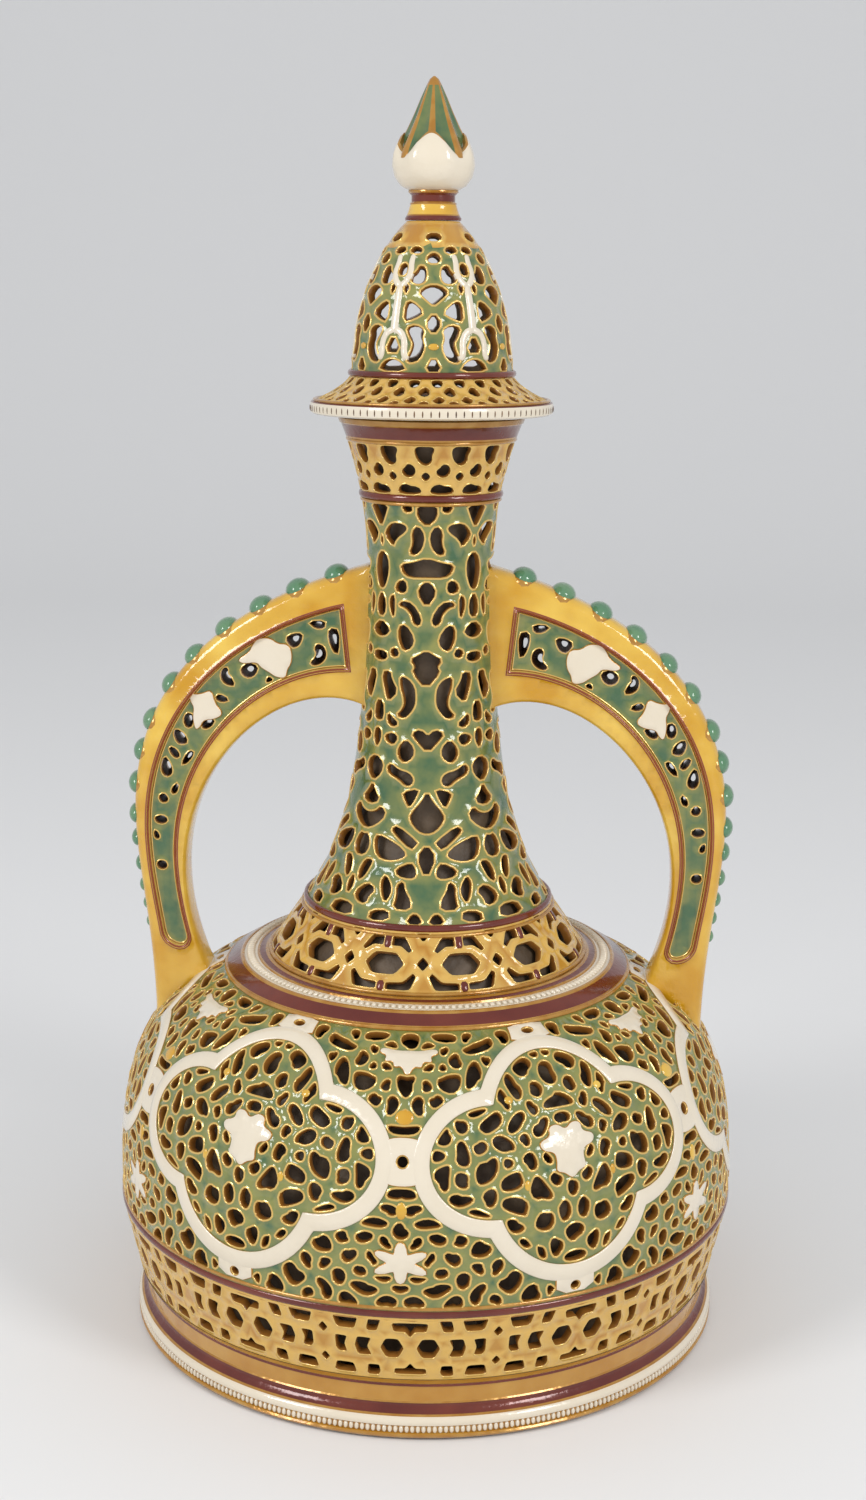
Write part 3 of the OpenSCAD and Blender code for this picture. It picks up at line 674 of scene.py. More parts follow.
HALF_REPEAT = BODY_ACROSS * math.radians(MEDALLION)
STRAP_UP, STRAP_ROOM = 43.5, 3.2
sixths = [(math.radians(MEDALLION + SIXTH * k), math.radians(SIXTH * k)) for k in range(6)]

# Rows of openings: across, up, length, width, turn, taper, bend
medallion_rows = [
    (0, 67.7, 5.5, 5, 90), (0, 58.7, 10.5, 2.8, 0, 0, -0.2), (0, 53.4, 5, 3, 0), (0, 35, 5.5, 2.6, 90),
    (0, 13.4, 7, 2.4, 0, 0, 0.2), (9.8, 72, 9.5, 5, -25, 0.2, -0.1), (4.3, 75.7, 4, 1.6, -5),
    (21, 63.8, 7, 3.4, 80), (14.5, 65, 8, 4.6, 75, 0.2), (6.9, 62.3, 4, 3.6, 0), (29.5, 59.8, 7.5, 2, -8),
    (35, 55.3, 5, 4.5, -45), (24.5, 54.2, 8.5, 3.8, -35, 0.2), (15.2, 53.8, 7.5, 2.8, -40),
    (7.8, 51.8, 6, 3, -35), (7.4, 44.2, 6, 3, 45), (40.5, 49, 8.5, 4.5, -50, 0, 0.2),
    (33.2, 46.5, 6.5, 3.6, 80, 0.25), (20, 48, 8, 3.6, 25, -0.2), (26, 41.8, 8, 4.6, -50, 0.15),
    (39.5, 39.5, 7.5, 4.4, 90, 0, 0.3), (18, 38.2, 7.5, 3.8, -15, 0, -0.25), (5, 37.4, 3.6, 3, 30),
    (10.4, 34.4, 8, 3.6, 55, 0, 0.2), (34, 33.8, 6, 2.8, 12), (25.7, 33.2, 4.8, 3.2, -65),
    (17.6, 30.2, 9, 3.4, 30, 0.2, -0.1), (3.3, 27.8, 5.2, 2.8, 80), (28.8, 28.3, 7, 2.2, 15),
    (20, 23.8, 5.5, 4, 20), (17.6, 18.2, 7, 3, 30), (11.6, 17, 7.5, 3.4, 65, 0, 0.2),
    (6, 17.5, 4.8, 3.6, 90)]
spandrel_rows = [
    (0, 80.3, 6, 4.6, 0), (0, 66.6, 7.2, 6.4, 90, -0.45), (0, 52.6, 8, 2.8, 0, 0, 0.2),
    (0, 35.3, 8.4, 3.2, 0, 0, -0.2), (0, 24.5, 4.8, 4.4, 90), (0, 8.2, 4.4, 2.8, 0),
    (14.9, 82, 10, 2.6, -5), (7.4, 78.9, 5, 2.2, 15), (7.9, 72.6, 7, 3.2, 40), (17.3, 74, 4.6, 4.2, 0),
    (14, 67.2, 8.5, 4.4, 0, 0, 0.3), (23.8, 69, 9, 3.4, 65), (28, 78.6, 12, 3.2, 15, 0, 0.2),
    (39, 81.5, 5.5, 3.4, 0), (4.2, 60.2, 4.6, 3.8, 70), (10.4, 61, 4.6, 3.6, -20),
    (8.6, 27.8, 8.5, 2.8, -5), (10.6, 23, 5.5, 2.8, -20), (4.1, 21.4, 3.4, 1.8, 40),
    (7.6, 16.5, 4.6, 3, 90), (14.4, 17, 4.4, 3, 90), (4.8, 11, 4.2, 1.9, 10), (18, 10, 4.6, 3.8, 45),
    (10.3, 7.6, 8, 3.2, 10), (3.8, 4.2, 4.8, 2.4, 0), (22.6, 19.2, 5, 3.8, 60), (26.8, 13.2, 2.5, 2.5, 0),
    (21.6, 6.4, 4.2, 3.2, 60), (30.5, 8.4, 6.5, 4.2, 60), (27.2, 4.4, 3, 2.4, 0), (38, 4.4, 4, 2.4, 0),
    (44.2, 4.8, 3.2, 2.6, 0)]


def strap_gap(u, v):
    """Distance from the middle of a medallion's strap: outside it positive, inside it negative."""
    top = np.hypot(u, v - 52) - 26
    low = np.hypot(u, v - 35) - 26
    du, dv = np.abs(u) - 24, v - STRAP_UP
    share = np.maximum(np.hypot(du / 21.5, dv / 18.5), 1e-6)
    side = (share - 1) * np.hypot(du, dv) / share
    return np.minimum(np.minimum(top, low), side)


def beside_strap(rows, flip):
    """Cells moved clear of the strap: inside a medallion, or with flip outside it."""
    cells = []
    for row in rows:
        u, v = row[:2]
        loop = oval(*row[2:])
        for _ in range(14):
            if flip:
                depth = STRAP_ROOM - strap_gap(HALF_REPEAT - u - loop[:, 0], v + loop[:, 1])
            else:
                depth = STRAP_ROOM + strap_gap(u + loop[:, 0], v + loop[:, 1])
            k = int(depth.argmax())
            if depth[k] <= 0:
                break
            if row[0] != 0:
                u -= 0.35 * depth[k] * np.sign(loop[k, 0])
            v -= 0.35 * depth[k] * np.sign(loop[k, 1])
            loop = loop * 0.97
        cells.append((math.degrees(u / BODY_ACROSS), v, loop))
    return cells


def from_spandrel(cells):
    """Cells given from the axis of a medallion, given from the axis of the spandrel beside it."""
    return [(MEDALLION - degrees, up, mirrored(loop)) for degrees, up, loop in cells]


def off_strap(turn, up):
    """Room between a place and the medallions' straps."""
    across = (np.degrees(turn) % SIXTH - MEDALLION) * math.radians(1) * BODY_ACROSS
    return np.abs(strap_gap(across, up)) - 3.1


palmette = rounded(both([(0, 50), (2.6, 52), (5.6, 51.4), (5.4, 48.8), (9.4, 47.6), (8.6, 45.2),
                         (4.8, 44.4), (4.4, 41.6), (5, 39), (2.4, 38.4), (0.6, 36.8)]), 2) - (0, 44.5)
fan = rounded(both([(0, 77.4), (4.4, 77.2), (10.4, 78.2), (11.6, 76.6), (8.2, 75.6), (9, 73.4), (5.6, 73.8),
                    (5, 71.6), (2.4, 72.2), (0.6, 69.4)]), 2) - (0, 74)
star = np.array([((6.1 + 2.2 * math.cos(6 * a)) * math.sin(-a), (4.5 + 1.6 * math.cos(6 * a)) * math.cos(a))
                 for a in TAU * np.arange(48) / 48])
boss = rounded([(-7.6, -4), (-4, -6.6), (4, -6.6), (7.6, -4), (7.6, 4), (4, 6.6), (-4, 6.6), (-7.6, 4)], 2)
top_tab = rounded([(-9, -3.6), (9, -3.6), (8.2, 0), (8.2, 2.6), (-8.2, 2.6), (-8.2, 0)], 1)
low_tab = rounded([(-6, -1.9), (6, -1.9), (6, 4.4), (-6, 4.4)], 1)
white = []
for medallion, spandrel in sixths:
    white += [(medallion, 44.5, palmette, []), (spandrel, 74, fan, []), (spandrel, 15.6, star, []),
              (spandrel, 44.2, boss, [oval(4, 4)]), (medallion, 82.6, top_tab, [oval(5.8, 2.8)]),
              (medallion, 4.9, low_tab, [oval(3.4, 3)])]

body_cells = from_spandrel(beside_strap(medallion_rows, False)) + beside_strap(spandrel_rows, True)
beside = [motif[:3] for motif in white]
body_cells = filled(body_wall, body_cells, 6, strand=1.3, margin=1.8, beside=beside, clear=off_strap)
body_openings = grown(body_wall, body_cells, 6, 0, strand=1.5, reach=2.6, margin=1.4, beside=beside,
                      clear=off_strap)
plaque_cells = [(MEDALLION, 82.6, oval(5, 2.2)), (MEDALLION, 4.9, oval(2.8, 2.4)),
                (0, 44.2, oval(3.4, 3.4))]
body_openings += copies(body_wall, plaque_cells, 6, 0)
openwork(body_wall, body_openings, 2.5, green_work)
settle("body_jacket", "vessel", ["body_shell"])


def strap_edge(angle, grow):
    """Distance from the middle of a medallion to an edge of its strap."""
    du, dv = math.cos(angle), math.sin(angle)
    reach = []
    for across, up, wide, high in ((0, 8.5, 26, 26), (0, -8.5, 26, 26), (24, 0, 21.5, 18.5),
                                   (-24, 0, 21.5, 18.5)):
        a, b = wide + grow, high + grow
        dd = (du / a) ** 2 + (dv / b) ** 2
        dw = du * across / a ** 2 + dv * up / b ** 2
        ww = (across / a) ** 2 + (up / b) ** 2
        inside = dw * dw - dd * (ww - 1)
        if inside >= 0:
            reach.append((dw + math.sqrt(inside)) / dd)
    return max(reach)


def medallion_straps():
    steps, points, faces, tags = 240, [], [], []
    section = [(-2.5, -0.8), (-2.5, 0.22), (-2.15, 0.45), (0, 0.5), (2.15, 0.45), (2.5, 0.22), (2.5, -0.8)]
    for axis, _ in sixths:
        base = len(points) * steps
        for grow, lift in section:
            ring = np.array([strap_edge(TAU * i / steps, grow) for i in range(steps)])
            angle = TAU * np.arange(steps) / steps
            points.append(body_wall.place(axis + ring * np.cos(angle) / BODY_ACROSS,
                                          STRAP_UP + ring * np.sin(angle), lift))
        for s in range(len(section)):
            t = (s + 1) % len(section)
            for i in range(steps):
                j = (i + 1) % steps
                faces.append([base + row * steps + side for row, side in ((s, i), (t, i), (t, j), (s, j))])
                tags.append(0 if s in (1, 2, 3, 4) else 1)
    drawn(np.concatenate(points), faces, tags, [cream, gold])
    closed_up()
    settle("medallion_straps", "vessel")


medallion_straps()

plaques(body_wall, white, 0.42, [cream, gold])
settle("body_palmettes", "vessel")


def studs(surface, spots, paint):
    """Low round studs on a wall: [angle, up, width, height, proud]."""
    bpy.ops.mesh.primitive_uv_sphere_add(segments=12, ring_count=8, radius=1)
    model = bpy.context.object
    shape = np.array([v.co for v in model.data.vertices])
    sides = [list(f.vertices) for f in model.data.polygons]
    bpy.ops.object.delete()
    points, faces = [], []
    for turn, up, wide, high, proud in spots:
        base = len(points) * len(shape)
        points.append(surface.place(turn + shape[:, 0] * wide / 2 / surface.radius(up),
                                    up + shape[:, 1] * high / 2, shape[:, 2] * proud))
        faces += [[i + base for i in side] for side in sides]
    drawn(np.concatenate(points), faces, [0] * len(faces), [paint])


buds = []
for medallion, spandrel in sixths:
    buds += [(spandrel, 56.6, 6, 4.4, 0.45), (spandrel, 30.6, 3.2, 5, 0.45)]
    for side in (1, -1):
        buds += [(medallion + side * 16.8 / BODY_ACROSS, 60.6, 3, 2.4, 0.4),
                 (medallion + side * 14.2 / BODY_ACROSS, 36.2, 2, 3, 0.4)]
studs(body_wall, buds, amber)
settle("body_buds", "vessel")

# Strapwork band under the body

band_cells = [
    (3.1, 11.2, hexagon(6.9, 6.8, 1.7)),
    (8.1, 11.3, straight([(2.5, 0), (1.6, 3.2), (-2.5, 3.1), (-1.2, 0), (-2.5, -3.1), (1.6, -3.2)])),
    (11.9, 11.4, straight([(1.8, -1.5), (1.8, 3), (-1.8, 2.9), (-0.9, 0), (-1.6, -2.8), (0.9, -2.9)])),
    (15, 16.4, lozenge(3, 4)), (15, 6, lozenge(2.8, 3.6)),
    (0, 18.6, straight([(5.3, 1.7), (-5.3, 1.7), (-4.7, -1.5), (-1.4, -1.5), (0, -3.5), (1.4, -1.5),
                        (4.7, -1.5)])),
    (6.1, 19.1, straight([(2.2, -1), (1.5, 2.1), (-2.1, 2.1), (-0.8, -2.1), (2, -2.1)])),
    (11, 19.3, trapezoid(5.2, 7.6, 4.3)),
    (0, 3, straight([(4.7, -1.1), (4.4, 1), (1.4, 1.1), (0, 3), (-1.4, 1.1), (-4.4, 1), (-4.7, -1.1)])),
    (6.4, 3.1, straight([(2, -1.9), (1.6, 1.9), (-1.6, 1.9), (-2, -0.5), (-1.3, -1.9)])),
    (11.5, 3.1, trapezoid(6.8, 5, 3.6))]
openwork(band_wall, copies(band_wall, band_cells, 12, 1.6), 2.6, ochre_work, rim=FINE_RIM)
settle("strapwork_band", "vessel", ["lower_band"])

# Collar, neck and the band under the mouth

collar_top = straight([(3.1, -1.2), (3.1, 1.8), (-0.8, 1.8), (-3.2, -2.4), (-2.2, -3.2), (0.2, -1.2)], 0.2)
collar_low = straight([(4.6, -2.1), (4.6, 0.1), (-0.5, 0.4), (-3.5, 3.3), (-4.6, 2.2), (-2.8, -2.1)], 0.2)
collar_cells = [(15, 9.9, hexagon(12.4, 6.8, 2.8)), (0, 10.1, lozenge(4, 4.6)),
                (0, 18.3, trapezoid(0.8, 4.4, 2.4)), (8.9, 16.5, collar_top), (7.8, 4, collar_low)]
openwork(collar_wall, copies(collar_wall, collar_cells, 12, 2.3), 2.6, ochre_work, spacing=2.4,
         rim=FINE_RIM)
settle("strapwork_collar", "vessel", ["neck_collar"])

# Openings of the neck in quarters: degrees from the axis of a quarter, length up the wall, outline
lower_neck = [
    (0, 56.7, both([(0, 1), (2.3, 3.1), (4.6, 2), (3.3, 0.4), (0, -3.1)])),
    (17.6, 53.4, [(-2.2, 1.1), (-2.1, -1.5), (0.2, -3.2), (2.2, -1.7), (2.2, 0.9), (0, 3.2)]),
    (21.9, 46.2, [(-4, -2.9), (-2.1, -3.1), (-0.1, -1.4), (3.5, 0), (4.5, 1.8), (3, 3.1), (0.3, 1.4),
                  (-3.2, 0.7), (-4.6, -1)]),
    (0, 35.1, both([(0, 6.3), (1.7, 3.3), (5, -0.4), (5, -2.4), (2.5, -5.3), (0, -6.1)])),
    (12.3, 39.4, [(-1.7, 0.2), (0.1, -2.9), (1.7, -0.6), (2.5, 1.6), (-2.6, 2.9)]),
    (45, 32.5, both([(0, 0.7), (3, 1.5), (4.9, 3.3), (6.6, 1.2), (3.6, -1.9), (0, -3.4)])),
    (14.9, 27.5, [(-3.8, -2.3), (-2.4, -3.6), (3.1, 0.7), (4.5, 2.3), (2.3, 3.6), (-4.5, -1)]),
    (24.1, 24.1, [(-4.3, -3), (-0.5, -3.9), (3.7, -3.2), (5.8, 1), (4.8, 3.8), (-2.6, 1.4), (-5.9, -1.4)]),
    (0, 20.6, both([(0, 5), (2.8, 1.3), (0, -5)])),
    (45, 47.4, both([(0, 3.7), (3.2, 1.7), (2.8, -1.3), (0, -3.8)])),
    (31, 56.8, [(-0.9, -1.8), (1.7, -0.9), (2.4, 0.8), (-0.8, 1.8), (-2.4, 0.4)]),
    (45, 56.6, both([(0, 3), (1.3, 2.2), (1.5, -0.4), (0, -3)])),
    (45, 39.4, both([(0, 3), (1.3, 0.6), (3.3, -1.5), (0, -2.8)])),
    (11.8, 17.8, [(-3.2, -1.5), (-1.5, -2.4), (2.5, -1.7), (3.2, 0.2), (-1.4, 2.4), (-2.8, 0.7)]),
    (12, 10.2, [(-2.5, -4.1), (2.5, -4.1), (2, -0.1), (2.4, 2.9), (0.4, 4.3), (-0.5, 1.3), (-2.3, -1.2)]),
    (22.3, 11.9, [(-1.9, -1.7), (-0.7, -4.1), (0.9, -1.5), (1.9, 1.9), (0.6, 4.1), (-1.8, 0.9)]),
    (37.8, 16.4, [(-1.6, 1.4), (-0.3, -1.9), (1.5, -3.3), (2.1, -0.4), (0.8, 3.1), (-2.1, 3.3)]),
    (34.2, 9.6, [(-1.7, -0.5), (-1.3, -2.9), (1.6, -2.4), (3.3, -0.3), (-0.3, 2.9), (-3.3, 1.5)]),
    (45, 23.8, both([(0, 2.7), (1.6, 3.1), (2.9, 0), (1.7, -2.8)])),
    (45, 11.4, both([(0, 3), (1.2, 0), (0, -3)])),
    (5.2, 3.2, [(2, -1.1), (0.8, 1.2), (-0.8, 1.1), (-2, -1.2)]),
    (22.6, 3.6, [(2.9, -1.4), (2.9, 0.9), (-2.4, 1.5), (-2.9, -0.9)]),
    (45, 4, both([(3.4, 1.4), (4.4, -1.6)])),
    (30.4, 62.4, [(-0.1, -1.8), (1.8, -0.6), (1.7, 1.8), (0, 0.5), (-1.8, -0.9)]),
    (45, 65, both([(1.3, 2.6), (1.8, -2.2), (0, -3)]))]
upper_neck = [
    (36.2, 72.4, [(-1.7, 2.3), (-4.1, -1.2), (-0.9, -4.4), (0.6, -1.4), (1.9, 4), (-1.2, 4.5)]),
    (16.8, 69.6, [(-2.6, -2.3), (-1.3, -4.5), (0.5, -6.2), (2.8, -5.6), (1.1, -3.9), (0.4, -2), (0.7, 0.1),
                  (1.8, 3), (2, 6.1), (-0.6, 5.3), (-2.4, 3.2), (-2.8, 0.2)]),
    (0, 124, both([(2.8, 2.9), (3, -0.7), (0, -3.4)])),
    (29.8, 117.8, [(-3.9, 1.1), (-0.5, -1.3), (0.6, -3.8), (4.3, -0.3), (2.8, 2.2), (0.6, 3.8), (-2.9, 3.6),
                   (-4.3, 2.6)]),
    (9, 116.5, [(-1.4, -2.4), (0.5, -4.2), (2.3, -3.8), (1.1, -1.1), (1.4, 2.4), (-0.4, 4.2), (-2.2, 1.4)]),
    (0, 108.3, both([(0, 2.8), (4.4, 1.4), (8.2, 0.8), (7.6, -1.4), (5.4, -2.7), (0, -2.6)])),
    (45, 107.2, both([(0, 5.5), (2.2, 3.6), (2.6, -0.3), (1.4, -4.4), (0, -5.5)])),
    (0, 100.3, both([(1.1, 3.6), (2.9, 0.6), (0, -3.6)])),
    (24, 102.6, [(-1.9, -0.8), (-0.6, -1.8), (1.8, -1), (0.9, 1.3), (-1.4, 1.8)]),
    (16.4, 94.7, [(3.3, 2.3), (2, 3.6), (-1.3, 3.1), (-4.1, -1.2), (-3.5, -3.6), (-1.5, -2.8), (-1, -0.3),
                  (1, 1.8)]),
    (18, 87.4, [(2.5, 3), (0.3, 3.8), (-2.4, 0.1), (-1.7, -2.7), (0.7, -3.8), (2.4, -0.9)]),
    (32.4, 96.8, [(-0.9, -2.7), (-0.1, -3.2), (1, -0.2), (0.8, 2.6), (-0.9, 3.2)]),
    (45, 89.7, both([(0, 2.2), (3.4, -0.2), (2.2, -1.6), (0, -2.2)])),
    (0, 78.1, both([(0, 5.3), (2.5, 3.8), (4.5, 2.8), (3, 0.8), (3.9, -0.9), (0, -5.3)])),
    (45, 97, both([(0, 3.8), (1.9, 0.6), (1.4, -3.4)])),
    (17, 126, [(-1.5, -0.9), (0.6, -1.2), (1.5, 0.5), (0, 1.2), (-1.4, 0.7)]),
    (45, 123.8, both([(3.4, 2.9), (1.6, -0.8), (0, -3.3)])),
    (45, 116, both([(0, 2.2), (0.9, 0), (0, -2)])),
    (45, 81.4, both([(2.4, 1.3), (2.9, -0.6), (0, -1.4)])),
    (29, 82.8, [(-1.6, -0.6), (0.6, -1.4), (1.6, 0.4), (-0.6, 1.4)])]


def scrolls(cells):
    """Cells with their outlines made smoother."""
    return [(degrees, up, rounded(points, 1)) for degrees, up, points in cells]


neck_openings = copies(neck_wall, scrolls(lower_neck), 4, 3) + copies(neck_wall, scrolls(upper_neck), 4, 1)
neck_openings = widened(neck_wall, neck_openings, most=0.45, strand=1.35)
openwork(neck_wall, neck_openings, 1.9, green_work, spacing=2.2)
settle("pierced_neck", "vessel", ["neck_shell"])

shield = straight([(2.9, 1.4), (1.8, 2.6), (0, 2), (-1.8, 2.6), (-2.9, 1.4), (-2, -1.4), (0, -2.8),
                   (2, -1.4)], 0.3)
neck_band_cells = [(0, 13.2, shield), (180 / 14, 8.6, oval(3.4, 3.2)), (0, 6.8, lozenge(1.9, 1.9)),
                   (180 / 14, 2.9, trapezoid(7.6, 4.4, 2.6))]
neck_band_openings = grown(neck_band_wall, neck_band_cells, 14, 0, strand=1.4, reach=0.8)
openwork(neck_band_wall, neck_band_openings, 1.9, ochre_work, spacing=2.0, rim=FINE_RIM)
settle("shield_band", "vessel", ["neck_band"])

# Lid: skirt and dome

skirt_cells = [(0, 8.4, lozenge(3.4, 4.2)), (7.5, 4.4, lozenge(4, 3.6)),
               (7.5, 11.8, trapezoid(1.2, 2.8, 1.9)), (0, 2.8, lozenge(3, 1.8))]
skirt_openings = grown(skirt_wall, skirt_cells, 24, 0, strand=1.3, reach=1.0, margin=0.8)
openwork(skirt_wall, skirt_openings, 2.1, ochre_work, spacing=2.0, rim=FINE_RIM)
settle("lid_strapwork", "lid", ["lid_skirt"])

# Openings of the lid in sixths, like those of the neck
lid_cells = [
    (0, 3.3, both([(0, 2.6), (2.6, -1.9)])),
    (0, 15, both([(0, 3.2), (2.4, 0), (0, -3.2)])),
    (0, 23.4, both([(2, 3.2), (5, 0.8), (2, -2), (0, -3.6)])),
    (0, 34.6, both([(0.8, 1.8), (2.3, 0.3), (1.4, -1.7)])),
    (12.5, 9.2, [(-2.4, 4), (-1.7, 1.5), (-2.6, -1), (-1.2, -4.4), (1.4, -5.4), (2.8, -4.6), (1.4, -2.2),
                 (0.8, 0.2), (2, 2), (3.2, 4.6), (0.2, 5.5)]),
    (16.5, 18.4, [(2.4, 2.5), (0.4, 3.2), (-3.6, -0.2), (-0.6, -2), (2.4, -2.9)]),
    (13, 29.4, [(-2.6, 0.2), (-2, -2.6), (0.4, -3.4), (2.8, -2.3), (2.9, 0.3), (1.4, 1.2), (0.6, 3.3),
                (-1.8, 3)]),
    (23.5, 25.2, [(1.3, 0), (0.2, 2.2), (-1.3, 0.5), (-0.2, -2.2)]),
    (30, 2.9, both([(0, 2.1), (3, 1), (4.6, -1.4)])),
    (30, 9, both([(0, 3.2), (2.7, -2.2)])),
    (30, 31, both([(0, 2.4), (1.6, 1), (1.3, -1.8)])),
    (20, 37.2, [(2.4, -0.6), (1.4, 1.6), (-1.4, 1.4), (-2.4, -0.4), (-0.6, -1.7)]),
    (0, 41.6, both([(1.7, 1.6), (2.6, -0.4), (0, -1.7)]))]


def ribbon(path, width):
    """Outline of a narrow strap along a path."""
    path = np.array(path, float)
    way = np.gradient(path, axis=0)
    side = np.stack([way[:, 1], -way[:, 0]], 1) / np.linalg.norm(way, axis=1)[:, None] * width / 2
    return rounded(np.concatenate([path + side, (path - side)[::-1]]), 1)


# White lattice of the lid: a stem, and on both sides of it a leg below and a fork above
low = np.array([(0.2, 6), (2.6, 5), (3.8, 2.4), (3.6, -0.6), (4.4, -2.6)])
high = np.array([(0.2, -3), (2, -1.2), (2.7, 1.4), (2.3, 4.2), (2.6, 6.6)])
lattice = []
for k in range(6):
    axis = math.radians(35 + SIXTH * k)
    lattice.append((axis, 19, ribbon([(0, -6.4), (0, -2), (0, 2), (0, 7.2)], 1.9), []))
    for side in (1, -1):
        lattice.append((axis, 7.4, ribbon(low * (side, 1), 1.5), []))
        lattice.append((axis, 29, ribbon(high * (side, 1), 1.4), []))
lid_openings = widened(lid_wall, copies(lid_wall, scrolls(lid_cells), 6, 5), most=0.1, strand=1.3)
openwork(lid_wall, lid_openings, 2.1, [green, gold, brown, ochre, clay],
         field=lambda turn, up: np.where(up > 38.5, 3, 0), spacing=2.0)
settle("pierced_lid", "lid", ["lid_dome"])

plaques(lid_wall, lattice, 0.3, [cream, cream], spacing=1.6)
settle("lid_lattice", "lid")
studs(lid_wall, [(math.radians(5 + SIXTH * k), 8.4, 3.2, 2, 0.35) for k in range(6)], amber)
settle("lid_buds", "lid")

ties = []
for k in range(12):
    axis = math.radians(17.3 + 30 * k)
    ties += [(axis, 16.8, rounded([(-0.9, -1.9), (0.9, -1.9), (0.9, 1.9), (-0.9, 1.9)], 1), []),
             (axis, 3, rounded([(-0.9, -1.3), (0.9, -1.3), (0.9, 1.3), (-0.9, 1.3)], 1), [])]
plaques(collar_wall, ties, 0.24, [maroon, maroon])
settle("collar_ties", "vessel")


# Handles: outer and inner edge as two curves each, from the neck down to the shoulder

def mix(a, b, share):
    return a + (b - a) * share


ROOT = neck_at(239) - 2
outer_curves = [
    [(ROOT, 239), (mix(ROOT, 92, 0.54), 228), (92, mix(239, 160.6, 0.43)), (92, 160.6)],
    [(92, 160.6), (92, 139.7), (87, 126), (86.5, 92)]]
inner_curves = [
    [(ROOT, 194), (mix(ROOT, 75.5, 0.4), 207), (75.5, mix(194, 141.7, 0.27)), (75.5, 141.7)],
    [(75.5, 141.7), (75.5, 129.5), (72.5, 119), (68, 108)]]


def along(curves, t):
    """Place on an edge of a handle: 0 at the neck, 2 on the shoulder."""
    p = np.array(curves[0] if t < 1 else curves[1], float)
    t = t if t < 1 else t - 1
    return (1 - t) ** 3 * p[0] + 3 * (1 - t) ** 2 * t * p[1] + 3 * (1 - t) * t * t * p[2] + t ** 3 * p[3]


def even(points, spacing):
    """A closed loop with its points at even distances, anticlockwise."""
    loop = np.array(points, float)
    ahead = np.roll(loop, -1, 0)
    if (loop[:, 0] * ahead[:, 1] - loop[:, 1] * ahead[:, 0]).sum() < 0:
        loop = loop[::-1]
    loop = np.concatenate([loop, loop[:1]])
    s = np.concatenate([[0], np.cumsum(np.linalg.norm(np.diff(loop, axis=0), axis=1))])
    at = np.linspace(0, s[-1], int(s[-1] / spacing) + 1)[:-1]
    return np.stack([np.interp(at, s, loop[:, 0]), np.interp(at, s, loop[:, 1])], 1)


def panel_edge(t, low, high):
    return mix(along(outer_curves, t), along(inner_curves, t), mix(low, high, t / 2))


handle_edge = even([along(outer_curves, t) for t in np.linspace(0, 2, 90)]
                   + [along(inner_curves, t) for t in np.linspace(2, 0, 80)], 2.0)
panel_ts = np.linspace(0.09, 1.64, 60)
panel_out = [panel_edge(t, 0.26, 0.36) for t in panel_ts]
panel_in = [panel_edge(t, 0.72, 0.8) for t in panel_ts]
middle = (panel_out[-1] + panel_in[-1]) / 2
reach = panel_out[-1] - middle
ahead = (panel_out[-1] + panel_in[-1] - panel_out[-3] - panel_in[-3])
ahead = ahead / np.linalg.norm(ahead) * np.linalg.norm(reach)
panel_tip = [middle + reach * math.cos(a) + ahead * math.sin(a) for a in np.linspace(0.3, 2.84, 7)]
panel_loop = even(panel_out + panel_tip + panel_in[::-1], 1.2)

